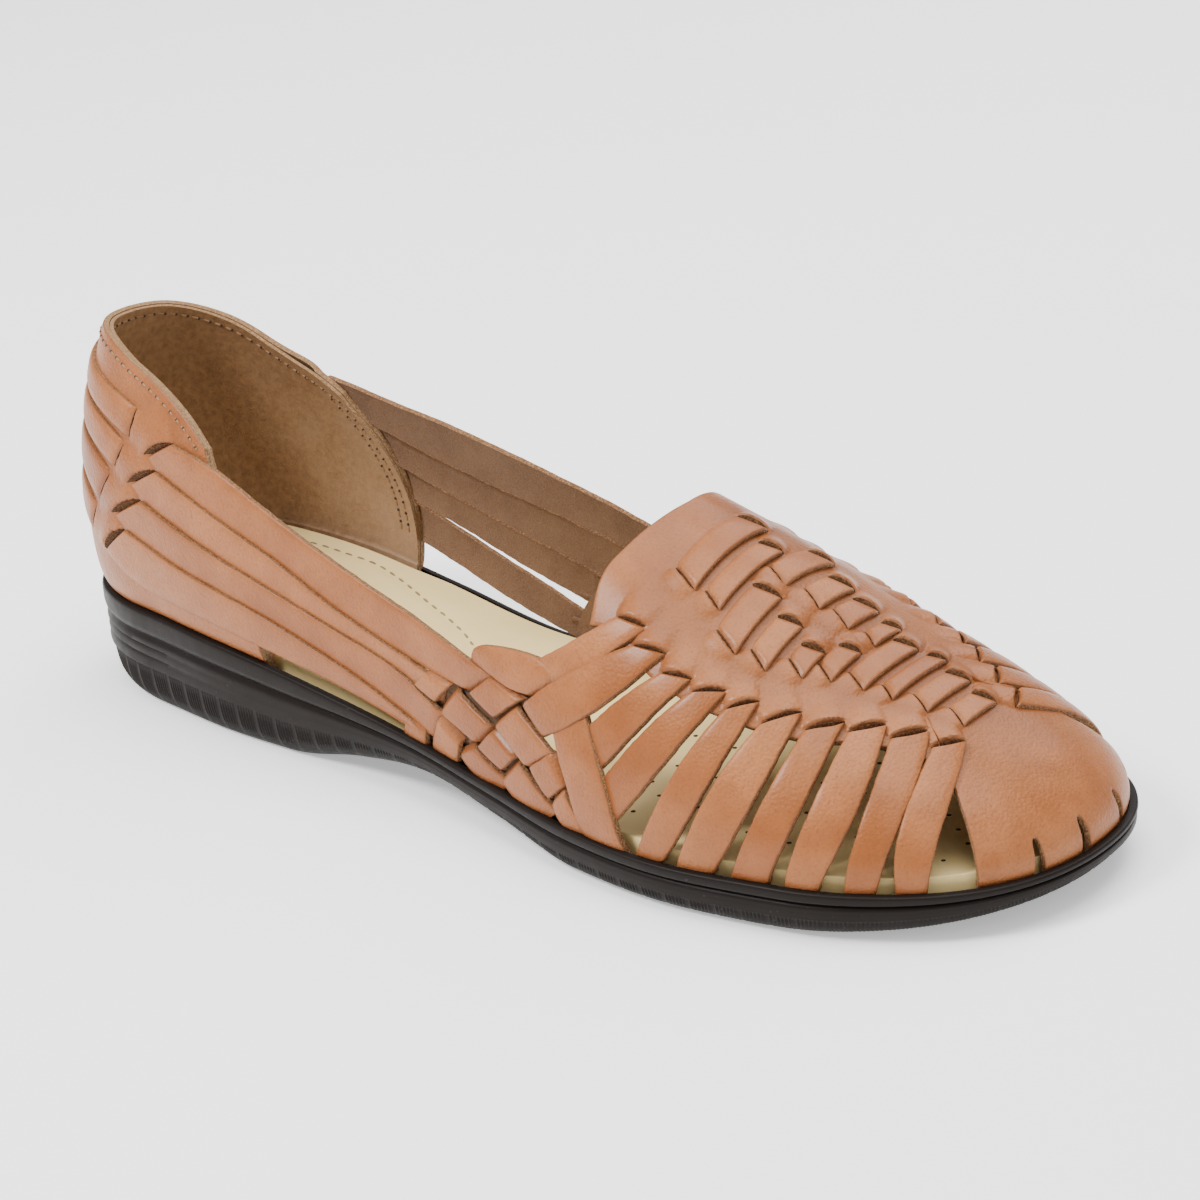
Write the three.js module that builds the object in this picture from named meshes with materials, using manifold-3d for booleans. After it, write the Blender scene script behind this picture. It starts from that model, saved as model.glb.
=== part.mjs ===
// Woven leather huarache sandal, right shoe, in millimetres.
// +X points to the toe, +Y to the inner side of the foot and +Z up. The origin is on the floor, at the
// middle of the sole's box. Every leather piece follows one last, whose surface is read in two shares:
// q runs round the sole's edge from the heel (0) to the toe tip (1), and g runs over the foot from the
// sole's rim on the outer side (0) over the ridge (1) to the rim on the inner side (2).
import * as THREE from "three";
import { mergeVertices } from "three/addons/utils/BufferGeometryUtils.js";
import Module from "manifold-3d";

const wasm = await Module();
wasm.setup();

// Driving sizes
const SOLE_LENGTH = 262;
const BALL_WIDTH = 86;
const HEEL_RIM = 24.5; // height of the sole's rim beside the heel
const LAST_HEIGHT = 106; // height of the last's ridge over the heel
const HEEL_ROUND = 31; // plan radius of the heel's end
const TOE_ROUND = 44; // plan radius of the toe's end
const END_FULLNESS = 2.15; // squareness of both ends in plan
const LEATHER = 1.6;
const COUNTER_WALL = 2.4; // leather and lining together
const WOVEN_WALL = 1.2; // the part of a woven strip's thickness that is fused to the wall
const STRIP_RAISE = 0.9; // how far an upper strip stands above the one it crosses
const LIP_WIDTH = 1.7; // the sole's lip round the foot of the upper
const RECESS_DEPTH = 4; // depth of the sole's recess inside its lip
const UPPER_TUCK = 3.4; // how far the upper reaches down into that recess
const INSOLE_RISE = 2; // top of the insole above the rim
const FIT_GAP = 0.3; // air between pieces that meet
const INSOLE_GAP = 0.8; // air round the insole, inside the wall of the upper
const SLIT_WIDTH = 1.5; // cuts in the toe cap
const INSOLE_BEVEL = 0.7; // rounding of the insole's top edge
const ARCH_RISE = 5.5; // bottom of the waist above the floor
const TOE_SPRING = 5; // bottom of the toe tip above the floor
const GROOVE_DEPTH = 0.9; // groove under the sole's lip
const RIB_DEPTH = 0.7; // grooves of the ribbed band
const RIB_COUNT = 48; // ribs round the sole
const WELT_ROUND = 2.5; // how far the side of the sole is drawn in towards the tread

// Sections of the last: place as a share of SOLE_LENGTH; middle and half width as shares of BALL_WIDTH;
// rim as a share of HEEL_RIM; ridge as a share of LAST_HEIGHT; full is the squareness of the section
const LAST = [
  { at: 0.00, middle: 0.041, half: 0.302, rim: 0.980, ridge: 1.000, full: 2.10 },
  { at: 0.10, middle: 0.035, half: 0.320, rim: 1.000, ridge: 0.991, full: 2.10 },
  { at: 0.20, middle: 0.012, half: 0.340, rim: 0.959, ridge: 0.953, full: 2.10 },
  { at: 0.30, middle: -0.006, half: 0.337, rim: 0.837, ridge: 0.901, full: 2.05 },
  { at: 0.42, middle: -0.027, half: 0.337, rim: 0.653, ridge: 0.816, full: 2.00 },
  { at: 0.53, middle: -0.030, half: 0.393, rim: 0.518, ridge: 0.726, full: 1.95 },
  { at: 0.63, middle: -0.026, half: 0.463, rim: 0.441, ridge: 0.642, full: 1.95 },
  { at: 0.72, middle: -0.015, half: 0.500, rim: 0.420, ridge: 0.542, full: 2.00 },
  { at: 0.82, middle: 0.005, half: 0.488, rim: 0.433, ridge: 0.401, full: 2.15 },
  { at: 0.91, middle: 0.035, half: 0.463, rim: 0.433, ridge: 0.316, full: 2.20 },
  { at: 1.00, middle: 0.067, half: 0.465, rim: 0.441, ridge: 0.283, full: 2.20 },
];

// Underside of the sole: arch as a share of ARCH_RISE, spring as a share of TOE_SPRING, and tuck, how far
// the tread's edge is drawn in from the rim, on the outer and on the inner side, as shares of WELT_ROUND
const UNDERSIDE = [
  { at: 0.00, arch: 0.0, spring: 0.30, outer: 1.9, inner: 1.9 },
  { at: 0.05, arch: 0.0, spring: 0.00, outer: 1.8, inner: 1.8 },
  { at: 0.28, arch: 0.0, spring: 0.00, outer: 1.8, inner: 1.9 },
  { at: 0.36, arch: 0.6, spring: 0.00, outer: 2.4, inner: 3.2 },
  { at: 0.45, arch: 1.0, spring: 0.00, outer: 3.0, inner: 4.6 },
  { at: 0.54, arch: 0.5, spring: 0.00, outer: 2.5, inner: 3.6 },
  { at: 0.62, arch: 0.0, spring: 0.00, outer: 1.9, inner: 2.2 },
  { at: 0.80, arch: 0.0, spring: 0.00, outer: 1.8, inner: 1.8 },
  { at: 0.90, arch: 0.0, spring: 0.30, outer: 1.9, inner: 1.9 },
  { at: 1.00, arch: 0.0, spring: 1.00, outer: 2.2, inner: 2.2 },
];

// Side of the sole from lip to tread: drop is the share of the way down, draw the share of the tuck at the
// tread that the side has moved in, cut the depth of a groove as a share of GROOVE_DEPTH, and ribbed is 1
// where the ribs are cut
const SOLE_SIDE = [
  { drop: 0.00, draw: 0.06, cut: 0.0, ribbed: 0 },
  { drop: 0.06, draw: 0.00, cut: 0.0, ribbed: 0 },
  { drop: 0.22, draw: 0.00, cut: 0.0, ribbed: 0 },
  { drop: 0.26, draw: 0.02, cut: 1.0, ribbed: 0 },
  { drop: 0.33, draw: 0.04, cut: 0.3, ribbed: 0 },
  { drop: 0.56, draw: 0.06, cut: 0.0, ribbed: 0 },
  { drop: 0.58, draw: 0.18, cut: 0.0, ribbed: 1 },
  { drop: 0.80, draw: 0.30, cut: 0.0, ribbed: 1 },
  { drop: 0.93, draw: 0.62, cut: 0.0, ribbed: 1 },
  { drop: 1.00, draw: 1.00, cut: 0.0, ribbed: 0 },
];

// Reads one column of a table as a smooth curve through its rows
function read(table, column, at) {
  const last = table.length - 1;
  const x = Math.min(Math.max(at, table[0].at), table[last].at);
  let i = 0;
  while (i < last - 1 && x >= table[i + 1].at) i += 1;
  const slope = (k) => {
    const a = table[Math.max(k - 1, 0)];
    const b = table[Math.min(k + 1, last)];
    return (b[column] - a[column]) / (b.at - a.at);
  };
  const step = table[i + 1].at - table[i].at;
  const t = (x - table[i].at) / step;
  const rise = t * t * (3 - 2 * t);
  return (1 - rise) * table[i][column] + rise * table[i + 1][column]
    + step * t * (1 - t) * ((1 - t) * slope(i) - t * slope(i + 1));
}

const clamp = (value, low, high) => Math.min(Math.max(value, low), high);
const mix = (a, b, t) => a + (b - a) * t;
const HEEL_ARC = HEEL_ROUND * Math.PI / 2;
const TOE_ARC = TOE_ROUND * Math.PI / 2;
const EDGE_LENGTH = HEEL_ARC + SOLE_LENGTH - HEEL_ROUND - TOE_ROUND + TOE_ARC;

// Place along the shoe of the share q of its developed edge
function alongShoe(q) {
  const run = q * EDGE_LENGTH;
  if (run < HEEL_ARC) return HEEL_ROUND * (1 - Math.cos(run / HEEL_ROUND));
  if (run < EDGE_LENGTH - TOE_ARC) return HEEL_ROUND + run - HEEL_ARC;
  return SOLE_LENGTH - TOE_ROUND * (1 - Math.cos((EDGE_LENGTH - run) / TOE_ROUND));
}

const endRound = (x, radius) => {
  const reach = clamp(1 - x / radius, 0, 1);
  return (1 - reach ** END_FULLNESS) ** (1 / END_FULLNESS);
};

// Plan outline of the sole's lip; side is -1 on the outer side and 1 on the inner side
function outlineY(x, side) {
  const at = x / SOLE_LENGTH;
  const width = read(LAST, "half", at) * endRound(x, HEEL_ROUND) * endRound(SOLE_LENGTH - x, TOE_ROUND);
  return BALL_WIDTH * (read(LAST, "middle", at) + side * width);
}

const rimHeight = (x) => HEEL_RIM * read(LAST, "rim", x / SOLE_LENGTH);
const ridgeHeight = (x) => LAST_HEIGHT * read(LAST, "ridge", x / SOLE_LENGTH);

// Where the sections of the last turn to: the ridge runs a little to the inner side over the toes
const RIDGE_SHIFT = 0.035; // share of BALL_WIDTH
function ridgePoint(x) {
  const px = clamp(x, HEEL_ROUND, SOLE_LENGTH - TOE_ROUND);
  const shift = clamp((px / SOLE_LENGTH - 0.45) / 0.4, 0, 1);
  return [px, RIDGE_SHIFT * BALL_WIDTH * shift];
}

// A point of the last. Below the rim (share under 0) it goes straight down, TUCK_SHARE for UPPER_TUCK
const FEATHER_INSET = LIP_WIDTH + FIT_GAP + 0.1;
const TUCK_SHARE = 0.1;
const LAST_BULGE = 3; // how far the sections swell
function lastPoint(qIn, gIn) {
  let q = qIn;
  let g = gIn;
  if (q > 1) { q = 2 - q; g = 2 - g; }
  if (q < 0) { q = -q; g = 2 - g; }
  const side = g <= 1 ? -1 : 1;
  const share = g <= 1 ? g : 2 - g;
  const x = alongShoe(q);
  const [tx, ty] = ridgePoint(x);
  const y = outlineY(x, side);
  const way = Math.hypot(tx - x, ty - y) + 1e-9;
  const ux = (tx - x) / way;
  const uy = (ty - y) / way;
  const reach = way - FEATHER_INSET;
  const full = read(LAST, "full", x / SOLE_LENGTH);
  const angle = clamp(share, 0, 1) * Math.PI / 2;
  const inward = 1 - Math.cos(angle) ** (2 / full);
  const up = Math.sin(angle) ** (2 / full);
  const swell = LAST_BULGE * clamp(2 - 4 * x / SOLE_LENGTH, 0.25, 1) * Math.sin(Math.PI * Math.sqrt(up));
  const run = FEATHER_INSET + reach * inward - swell;
  const px = x + ux * run;
  const drop = share < 0 ? share / TUCK_SHARE * UPPER_TUCK : 0;
  const z = rimHeight(x) + (ridgeHeight(px) - rimHeight(x)) * up + drop;
  return new THREE.Vector3(px, y + uy * run, z);
}

// Outward normal of the last
const NORMAL_STEP = 0.004;
function lastNormal(q, g) {
  const share = g <= 1 ? g : 2 - g;
  const flat = clamp(share, 0, 0.97);
  const gq = g <= 1 ? flat : 2 - flat;
  const alongQ = lastPoint(q + NORMAL_STEP, gq).sub(lastPoint(q - NORMAL_STEP, gq));
  const overG = lastPoint(q, gq + NORMAL_STEP).sub(lastPoint(q, gq - NORMAL_STEP));
  const normal = alongQ.cross(overG).normalize();
  const top = clamp((share - 0.9) / 0.1, 0, 1);
  if (top > 0) {
    const x = lastPoint(q, g).x;
    const slope = (ridgeHeight(x + 1) - ridgeHeight(x - 1)) / 2;
    normal.lerp(new THREE.Vector3(-slope, 0, 1).normalize(), top).normalize();
  }
  if (share < 0) normal.setZ(0).normalize();
  return normal;
}

// The share pair under a place in plan, for the pieces on top of the foot
function underPlan(x, y) {
  const toeLine = SOLE_LENGTH - TOE_ROUND;
  const [tx, ty] = ridgePoint(x);
  const side = y < ty ? -1 : 1;
  let low = x > toeLine ? 1 - TOE_ARC / EDGE_LENGTH : 0;
  let high = 1;
  const turn = Math.atan2(Math.abs(y - ty), x - tx);
  for (let k = 0; k < 40; k += 1) {
    const q = (low + high) / 2;
    const ex = alongShoe(q);
    const past = x > toeLine
      ? Math.atan2(Math.abs(outlineY(ex, side) - ty), ex - tx) < turn
      : ex > x;
    if (past) high = q;
    else low = q;
  }
  const q = (low + high) / 2;
  const goal = Math.hypot(x - tx, y - ty);
  let near = 0;
  let far = 1;
  for (let k = 0; k < 40; k += 1) {
    const share = (near + far) / 2;
    const p = lastPoint(q, side < 0 ? share : 2 - share);
    if (Math.hypot(p.x - tx, p.y - ty) > goal) near = share;
    else far = share;
  }
  const share = (near + far) / 2;
  return [q, side < 0 ? share : 2 - share];
}

// A smooth curve through a short list of points, at the share t of it
function along(points, t) {
  const pace = t * (points.length - 1);
  const i = Math.min(Math.floor(pace), points.length - 2);
  const u = pace - i;
  const pick = (k) => points[clamp(k, 0, points.length - 1)];
  return points[0].map((_, axis) => {
    const [a, b, c, d] = [pick(i - 1)[axis], pick(i)[axis], pick(i + 1)[axis], pick(i + 2)[axis]];
    return 0.5 * (2 * b + (c - a) * u + (2 * a - 5 * b + 4 * c - d) * u * u
      + (3 * b - a - 3 * c + d) * u * u * u);
  });
}

// A closed piece from grids of base points: each grid is rows of { base, out, lift }, where the outer face
// lies lift above the base along out, and the inner face lies the wall's thickness below it
function thicken(grids, thickness) {
  const points = [];
  const ids = new Map();
  const idOf = (p) => {
    const key = [p.base.x, p.base.y, p.base.z].map((v) => Math.round(v * 500)).join(" ");
    if (!ids.has(key)) {
      ids.set(key, points.length);
      points.push(p);
    }
    return ids.get(key);
  };
  const faces = [];
  for (const rows of grids) {
    for (let i = 0; i + 1 < rows.length; i += 1) {
      for (let j = 0; j + 1 < rows[i].length; j += 1) {
        const [a, b, c, d] = [rows[i][j], rows[i + 1][j], rows[i + 1][j + 1], rows[i][j + 1]].map(idOf);
        for (const face of [[a, b, c], [a, c, d]]) {
          if (new Set(face).size === 3) faces.push(face);
        }
      }
    }
  }
  const half = points.length;
  const position = [];
  for (const depth of [0, thickness]) {
    for (const p of points) position.push(...p.base.clone().addScaledVector(p.out, p.lift - depth));
  }
  const index = [];
  const open = new Map();
  for (const [a, b, c] of faces) {
    index.push(a, b, c, half + a, half + c, half + b);
    for (const [from, to] of [[a, b], [b, c], [c, a]]) {
      if (!open.delete(`${to} ${from}`)) open.set(`${from} ${to}`, [from, to]);
    }
  }
  for (const [from, to] of open.values()) {
    index.push(to, from, half + from, to, half + from, half + to);
  }
  const geometry = new THREE.BufferGeometry();
  geometry.setAttribute("position", new THREE.Float32BufferAttribute(position, 3));
  geometry.setIndex(index);
  return geometry;
}

const onLast = (q, g, lift) => ({ base: lastPoint(q, g), out: lastNormal(q, g), lift });

// A strip between two edge curves of [q, g] points, which starts at t = 0; lifts is the height of its outer
// face above the last along its run
function strip({ rear, front, lifts, steps = 6, across = 1, wall = LEATHER }) {
  const rows = [];
  for (let i = 0; i <= steps; i += 1) {
    const t = i / steps;
    const [a, b] = [along(rear, t), along(front, t)];
    const lift = along(lifts.map((v) => [v]), t)[0];
    const row = [];
    for (let j = 0; j <= across; j += 1) {
      row.push(onLast(mix(a[0], b[0], j / across), mix(a[1], b[1], j / across), lift));
    }
    rows.push(row);
  }
  return thicken([rows], wall);
}

function toSolid(geometry) {
  const merged = mergeVertices(geometry, 1e-4);
  const vertProperties = new Float32Array(merged.attributes.position.array);
  const make = (triVerts) => new wasm.Manifold(new wasm.Mesh({ numProp: 3, vertProperties, triVerts }));
  const faces = new Uint32Array(merged.index.array);
  const solid = make(faces);
  if (solid.volume() > 0) return solid;
  return make(faces.reverse());
}

// Groups of numbers that belong together: join(a, b) joins two groups and root(a) names the group of a
function grouping(count) {
  const parent = Array.from({ length: count }, (_, i) => i);
  const root = (i) => {
    let k = i;
    while (parent[k] !== k) {
      parent[k] = parent[parent[k]];
      k = parent[k];
    }
    return k;
  };
  const join = (a, b) => { parent[root(b)] = root(a); };
  return { root, join };
}

// The outer skin of a solid: points less than WELD apart become one, and the tiny sealed pockets that can
// stay between crossing strips are filled
const WELD = 0.02;
function fromSolid(solid) {
  const mesh = solid.getMesh();
  const point = (i) => new THREE.Vector3().fromArray(mesh.vertProperties, 3 * i);
  const welded = grouping(mesh.numVert);
  const sides = [];
  for (let k = 0; k < mesh.triVerts.length; k += 3) sides.push(Array.from(mesh.triVerts.slice(k, k + 3)));
  for (const face of sides) {
    face.forEach((a, k) => {
      const b = face[(k + 1) % 3];
      if (point(a).distanceTo(point(b)) < WELD) welded.join(a, b);
    });
  }
  const faces = new Map();
  for (const face of sides) {
    const ids = face.map(welded.root);
    if (new Set(ids).size < 3) continue;
    const key = [...ids].sort((a, b) => a - b).join(" ");
    if (!faces.delete(key)) faces.set(key, ids);
  }
  const skins = grouping(mesh.numVert);
  for (const [a, b, c] of faces.values()) {
    skins.join(a, b);
    skins.join(a, c);
  }
  const sizes = new Map();
  for (const [a] of faces.values()) sizes.set(skins.root(a), (sizes.get(skins.root(a)) ?? 0) + 1);
  const skin = [...sizes].sort((a, b) => b[1] - a[1])[0][0];
  const geometry = new THREE.BufferGeometry();
  geometry.setAttribute("position", new THREE.Float32BufferAttribute(mesh.vertProperties, 3));
  geometry.setIndex([...faces.values()].filter(([a]) => skins.root(a) === skin).flat());
  return geometry;
}

// The vamp: its throat edge and its side edge under the strips, as shares q and g of the last
const THROAT = [[0.598, 0.49], [0.594, 0.61], [0.601, 0.73], [0.607, 0.86], [0.61, 1]];
const VAMP_EDGE = [
  { at: 0.598, g: 0.49 }, { at: 0.617, g: 0.51 }, { at: 0.637, g: 0.48 }, { at: 0.661, g: 0.46 },
  { at: 0.688, g: 0.46 }, { at: 0.709, g: 0.475 }, { at: 0.734, g: 0.5 }, { at: 0.759, g: 0.545 },
  { at: 0.789, g: 0.61 }, { at: 0.836, g: 0.645 }, { at: 0.885, g: 0.62 },
];
const CAP_SIDE = 0.899; // q of the toe cap's rear edge
const CAP_SHOULDER = 0.5; // share g at which that edge turns under the last strip
const CAP_SLITS = [
  { q: 0.945, top: 0.2 }, { q: 0.987, top: 0.21 }, { q: 1.032, top: 0.2 }, { q: 1.082, top: 0.16 },
];

// Strips that fan out from the vamp to the sole, front ones last: feet as q, middles and tops as q and g
const FAN_STRIPS = [
  { rearFoot: 0.659, rearQ: 0.682, rearG: 0.20, topQ: 0.710, topG: 0.50,
    frontFoot: 0.682, frontQ: 0.712, frontG: 0.25, tipQ: 0.727, tipG: 0.58 },
  { rearFoot: 0.692, rearQ: 0.718, rearG: 0.29, topQ: 0.734, topG: 0.52,
    frontFoot: 0.721, frontQ: 0.746, frontG: 0.28, tipQ: 0.752, tipG: 0.63 },
  { rearFoot: 0.733, rearQ: 0.750, rearG: 0.25, topQ: 0.759, topG: 0.58,
    frontFoot: 0.760, frontQ: 0.779, frontG: 0.35, tipQ: 0.780, tipG: 0.68 },
  { rearFoot: 0.771, rearQ: 0.785, rearG: 0.35, topQ: 0.789, topG: 0.65,
    frontFoot: 0.795, frontQ: 0.817, frontG: 0.36, tipQ: 0.829, tipG: 0.73 },
  { rearFoot: 0.811, rearQ: 0.821, rearG: 0.33, topQ: 0.836, topG: 0.68,
    frontFoot: 0.832, frontQ: 0.852, frontG: 0.38, tipQ: 0.892, tipG: 0.74 },
  { rearFoot: 0.844, rearQ: 0.853, rearG: 0.40, topQ: 0.887, topG: 0.67,
    frontFoot: 0.865, frontQ: 0.882, frontG: 0.36, tipQ: 0.938, tipG: 0.69 },
];

// Strips from the vamp into the side weave: both edges as q and g, from the weave up to the vamp
const SLANT_STRIPS = [
  { rear: [[0.560, 0.34], [0.588, 0.42], [0.603, 0.48], [0.617, 0.55]],
    front: [[0.580, 0.31], [0.608, 0.41], [0.622, 0.46], [0.641, 0.57]] },
  { rear: [[0.554, 0.23], [0.587, 0.34], [0.612, 0.42], [0.635, 0.51]],
    front: [[0.576, 0.19], [0.611, 0.31], [0.637, 0.39], [0.659, 0.54]] },
  { rear: [[0.598, 0.20], [0.620, 0.29], [0.642, 0.40], [0.661, 0.49]],
    front: [[0.615, 0.13], [0.636, 0.24], [0.661, 0.36], [0.682, 0.52]] },
  { rear: [[0.618, 0.10], [0.643, 0.23], [0.668, 0.38], [0.685, 0.49]],
    front: [[0.632, 0.03], [0.669, 0.23], [0.697, 0.40], [0.707, 0.55]] },
];

// Side weave: the wall behind it, and each piece that shows, from its two corners at one end to those at
// the other, as q and g
const WEAVE_WALL = {
  rear: [[0.425, -0.05], [0.432, 0.03], [0.446, 0.12], [0.468, 0.19], [0.492, 0.25]],
  front: [[0.635, -0.05], [0.625, 0.03], [0.606, 0.14], [0.588, 0.23], [0.570, 0.33]],
};
const WEAVE = [
  { from: [[0.523, 0.25], [0.553, 0.24]], to: [[0.500, 0.18], [0.525, 0.16]] },
  { from: [[0.458, 0.17], [0.481, 0.17]], to: [[0.442, 0.12], [0.464, 0.11]] },
  { from: [[0.488, 0.17], [0.470, 0.10]], to: [[0.524, 0.14], [0.506, 0.08]] },
  { from: [[0.549, 0.22], [0.527, 0.15]], to: [[0.588, 0.17], [0.561, 0.10]] },
  { from: [[0.527, 0.14], [0.550, 0.11]], to: [[0.507, 0.07], [0.532, 0.05]] },
  { from: [[0.586, 0.17], [0.600, 0.11]], to: [[0.562, 0.10], [0.581, 0.05]] },
  { from: [[0.469, 0.09], [0.490, 0.06]], to: [[0.452, -0.02], [0.480, -0.02]] },
  { from: [[0.504, 0.07], [0.487, 0.03]], to: [[0.534, 0.03], [0.519, -0.05]] },
  { from: [[0.552, 0.10], [0.532, 0.03]], to: [[0.586, 0.03], [0.560, -0.06]] },
  { from: [[0.598, 0.10], [0.585, 0.05]], to: [[0.618, 0.00], [0.600, -0.06]] },
  { from: [[0.432, 0.04], [0.452, 0.04]], to: [[0.419, -0.06], [0.448, -0.06]] },
];
const WEAVE_TURN = {
  rear: [[0.487, 0.27], [0.502, 0.30], [0.523, 0.33], [0.565, 0.36], [0.588, 0.34]],
  front: [[0.523, 0.25], [0.532, 0.248], [0.545, 0.25], [0.553, 0.255], [0.561, 0.26]],
};
const CROSS_STRAP = {
  rear: [[0.617, -0.07], [0.602, 0.11], [0.584, 0.21]],
  front: [[0.655, -0.07], [0.638, 0.14], [0.611, 0.29]],
};

// Side straps from their slits in the counter to the weave, top one first: rear is the upper edge and front
// the lower one, as q and g
const OUTER_STRAPS = [
  { rear: [[0.214, 0.36], [0.263, 0.35], [0.305, 0.32], [0.356, 0.29], [0.406, 0.27], [0.459, 0.26],
    [0.523, 0.25]],
  front: [[0.180, 0.30], [0.239, 0.26], [0.278, 0.24], [0.318, 0.22], [0.368, 0.185], [0.430, 0.165],
    [0.498, 0.18]] },
  { rear: [[0.197, 0.29], [0.239, 0.25], [0.318, 0.208], [0.368, 0.174], [0.420, 0.155], [0.470, 0.16]],
    front: [[0.160, 0.23], [0.200, 0.205], [0.290, 0.165], [0.350, 0.146], [0.410, 0.132], [0.464, 0.11]] },
  { rear: [[0.180, 0.22], [0.239, 0.172], [0.318, 0.145], [0.370, 0.130], [0.422, 0.12], [0.470, 0.09]],
    front: [[0.138, 0.16], [0.200, 0.12], [0.280, 0.10], [0.328, 0.088], [0.390, 0.06], [0.460, 0.02]] },
  { rear: [[0.158, 0.15], [0.221, 0.125], [0.289, 0.11], [0.340, 0.092], [0.390, 0.07], [0.450, 0.03]],
    front: [[0.125, 0.09], [0.168, 0.05], [0.244, 0.04], [0.300, 0.022], [0.362, 0.014], [0.440, 0.00]] },
];
const INNER_STRAPS = [
  { rear: [[0.205, 0.335], [0.267, 0.335], [0.326, 0.36], [0.384, 0.385], [0.427, 0.395], [0.480, 0.38],
    [0.530, 0.335]],
  front: [[0.180, 0.28], [0.240, 0.265], [0.285, 0.26], [0.350, 0.275], [0.420, 0.295], [0.470, 0.29],
    [0.520, 0.25]] },
  { rear: [[0.190, 0.272], [0.240, 0.253], [0.300, 0.25], [0.360, 0.265], [0.430, 0.283], [0.495, 0.26]],
    front: [[0.160, 0.22], [0.220, 0.20], [0.285, 0.19], [0.350, 0.195], [0.420, 0.20], [0.480, 0.17]] },
  { rear: [[0.175, 0.212], [0.239, 0.188], [0.300, 0.178], [0.360, 0.182], [0.422, 0.185], [0.470, 0.16]],
    front: [[0.138, 0.155], [0.220, 0.138], [0.285, 0.13], [0.350, 0.125], [0.420, 0.115], [0.465, 0.09]] },
  { rear: [[0.158, 0.15], [0.221, 0.125], [0.285, 0.115], [0.350, 0.102], [0.410, 0.088], [0.460, 0.05]],
    front: [[0.125, 0.09], [0.190, 0.06], [0.285, 0.05], [0.350, 0.034], [0.410, 0.02], [0.450, 0.00]] },
];

// Heel counter: its collar over q, its front edge over g, and the straps that wrap the heel
const OUTER_COLLAR = [
  { at: 0, g: 0.52 }, { at: 0.06, g: 0.53 }, { at: 0.12, g: 0.52 }, { at: 0.182, g: 0.475 },
  { at: 0.22, g: 0.43 }, { at: 0.245, g: 0.38 },
];
const INNER_COLLAR = [
  { at: 0, g: 0.52 }, { at: 0.06, g: 0.50 }, { at: 0.12, g: 0.45 }, { at: 0.182, g: 0.375 },
  { at: 0.205, g: 0.35 }, { at: 0.225, g: 0.32 },
];
const OUTER_FRONT = [[0.290, 0], [0.288, 0.1], [0.279, 0.19], [0.264, 0.285], [0.245, 0.38]];
const INNER_FRONT = [[0.281, 0], [0.280, 0.08], [0.273, 0.16], [0.254, 0.24], [0.225, 0.32]];
const HEEL_STRAPS = [
  { rear: [[0.172, 0.40], [0.094, 0.44], [-0.015, 0.475]],
    front: [[0.164, 0.33], [0.094, 0.375], [-0.015, 0.41]] },
  { rear: [[0.160, 0.32], [0.094, 0.365], [-0.015, 0.40]],
    front: [[0.146, 0.26], [0.094, 0.30], [-0.015, 0.34]] },
  { rear: [[0.142, 0.25], [0.090, 0.29], [-0.015, 0.33]],
    front: [[0.122, 0.18], [0.080, 0.22], [-0.015, 0.265]] },
  { rear: [[0.118, 0.17], [0.075, 0.205], [-0.015, 0.255]],
    front: [[0.105, 0.11], [0.060, 0.15], [-0.015, 0.19]] },
];

// Woven strip ends on top of the vamp: place and width along the shoe as shares of SOLE_LENGTH, outer and
// inner end as shares of BALL_WIDTH
const VAMP_WEAVE = [
  { at: 0.684, width: 0.023, outer: -0.163, inner: 0.081 },
  { at: 0.710, width: 0.018, outer: -0.169, inner: 0.041 },
  { at: 0.735, width: 0.022, outer: -0.227, inner: -0.081 },
  { at: 0.761, width: 0.018, outer: -0.215, inner: -0.105 },
  { at: 0.785, width: 0.017, outer: -0.174, inner: -0.122 },
  { at: 0.802, width: 0.016, outer: -0.134, inner: -0.052 },
  { at: 0.822, width: 0.018, outer: -0.099, inner: 0.081 },
  { at: 0.843, width: 0.014, outer: -0.070, inner: 0.110 },
  { at: 0.864, width: 0.018, outer: -0.035, inner: 0.099 },
  { at: 0.888, width: 0.018, outer: 0.000, inner: 0.093 },
  { at: 0.731, width: 0.020, outer: -0.006, inner: 0.145 },
  { at: 0.758, width: 0.019, outer: 0.012, inner: 0.110 },
  { at: 0.781, width: 0.019, outer: 0.023, inner: 0.105 },
  { at: 0.804, width: 0.014, outer: 0.035, inner: 0.105 },
];
const TILE_FLARE = 0.02; // how far a strip end's front corners reach beyond its rear ones, of BALL_WIDTH
const BAND_ENDS = [0.27, 0.912]; // q from within the counter to within the cap
const FOOT_SHARE = -0.05; // how far down in the band the strips' feet reach
const BAND_SPARE = 0.1; // how far the band stands beyond both faces of the strips that it holds

// Heights of a piece's outer face above the last, over its run
const RISING = [0.2 * STRIP_RAISE, 0.4 * STRIP_RAISE, STRIP_RAISE];
const FANNED = [0, 0.3 * STRIP_RAISE, STRIP_RAISE];
const CROWNED = [0, STRIP_RAISE, STRIP_RAISE, 0.1 * STRIP_RAISE];
const FOOTED = [0, 0.25, 0, 0].map((share) => share * STRIP_RAISE);
const PLANTED = [0, 0, 0.8, 1, 0.1].map((share) => share * STRIP_RAISE);
const SETTLING = [0.1, 1, 0.6, 0.3, 0.2].map((share) => share * STRIP_RAISE);

const TUCK = -TUCK_SHARE;
const onSide = (side) => (side < 0 ? (p) => p : ([q, g]) => [q, 2 - g]);
const spread = (from, to, steps) => Array.from({ length: steps + 1 }, (_, i) => mix(from, to, i / steps));

// Rows of [q, side] from the outer side round the toe tip to the inner side
function roundToe(outerQs) {
  const inner = outerQs.slice(0, -1).reverse();
  return [...outerQs.map((q) => [q, -1]), ...inner.map((q) => [q, 1])];
}

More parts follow.
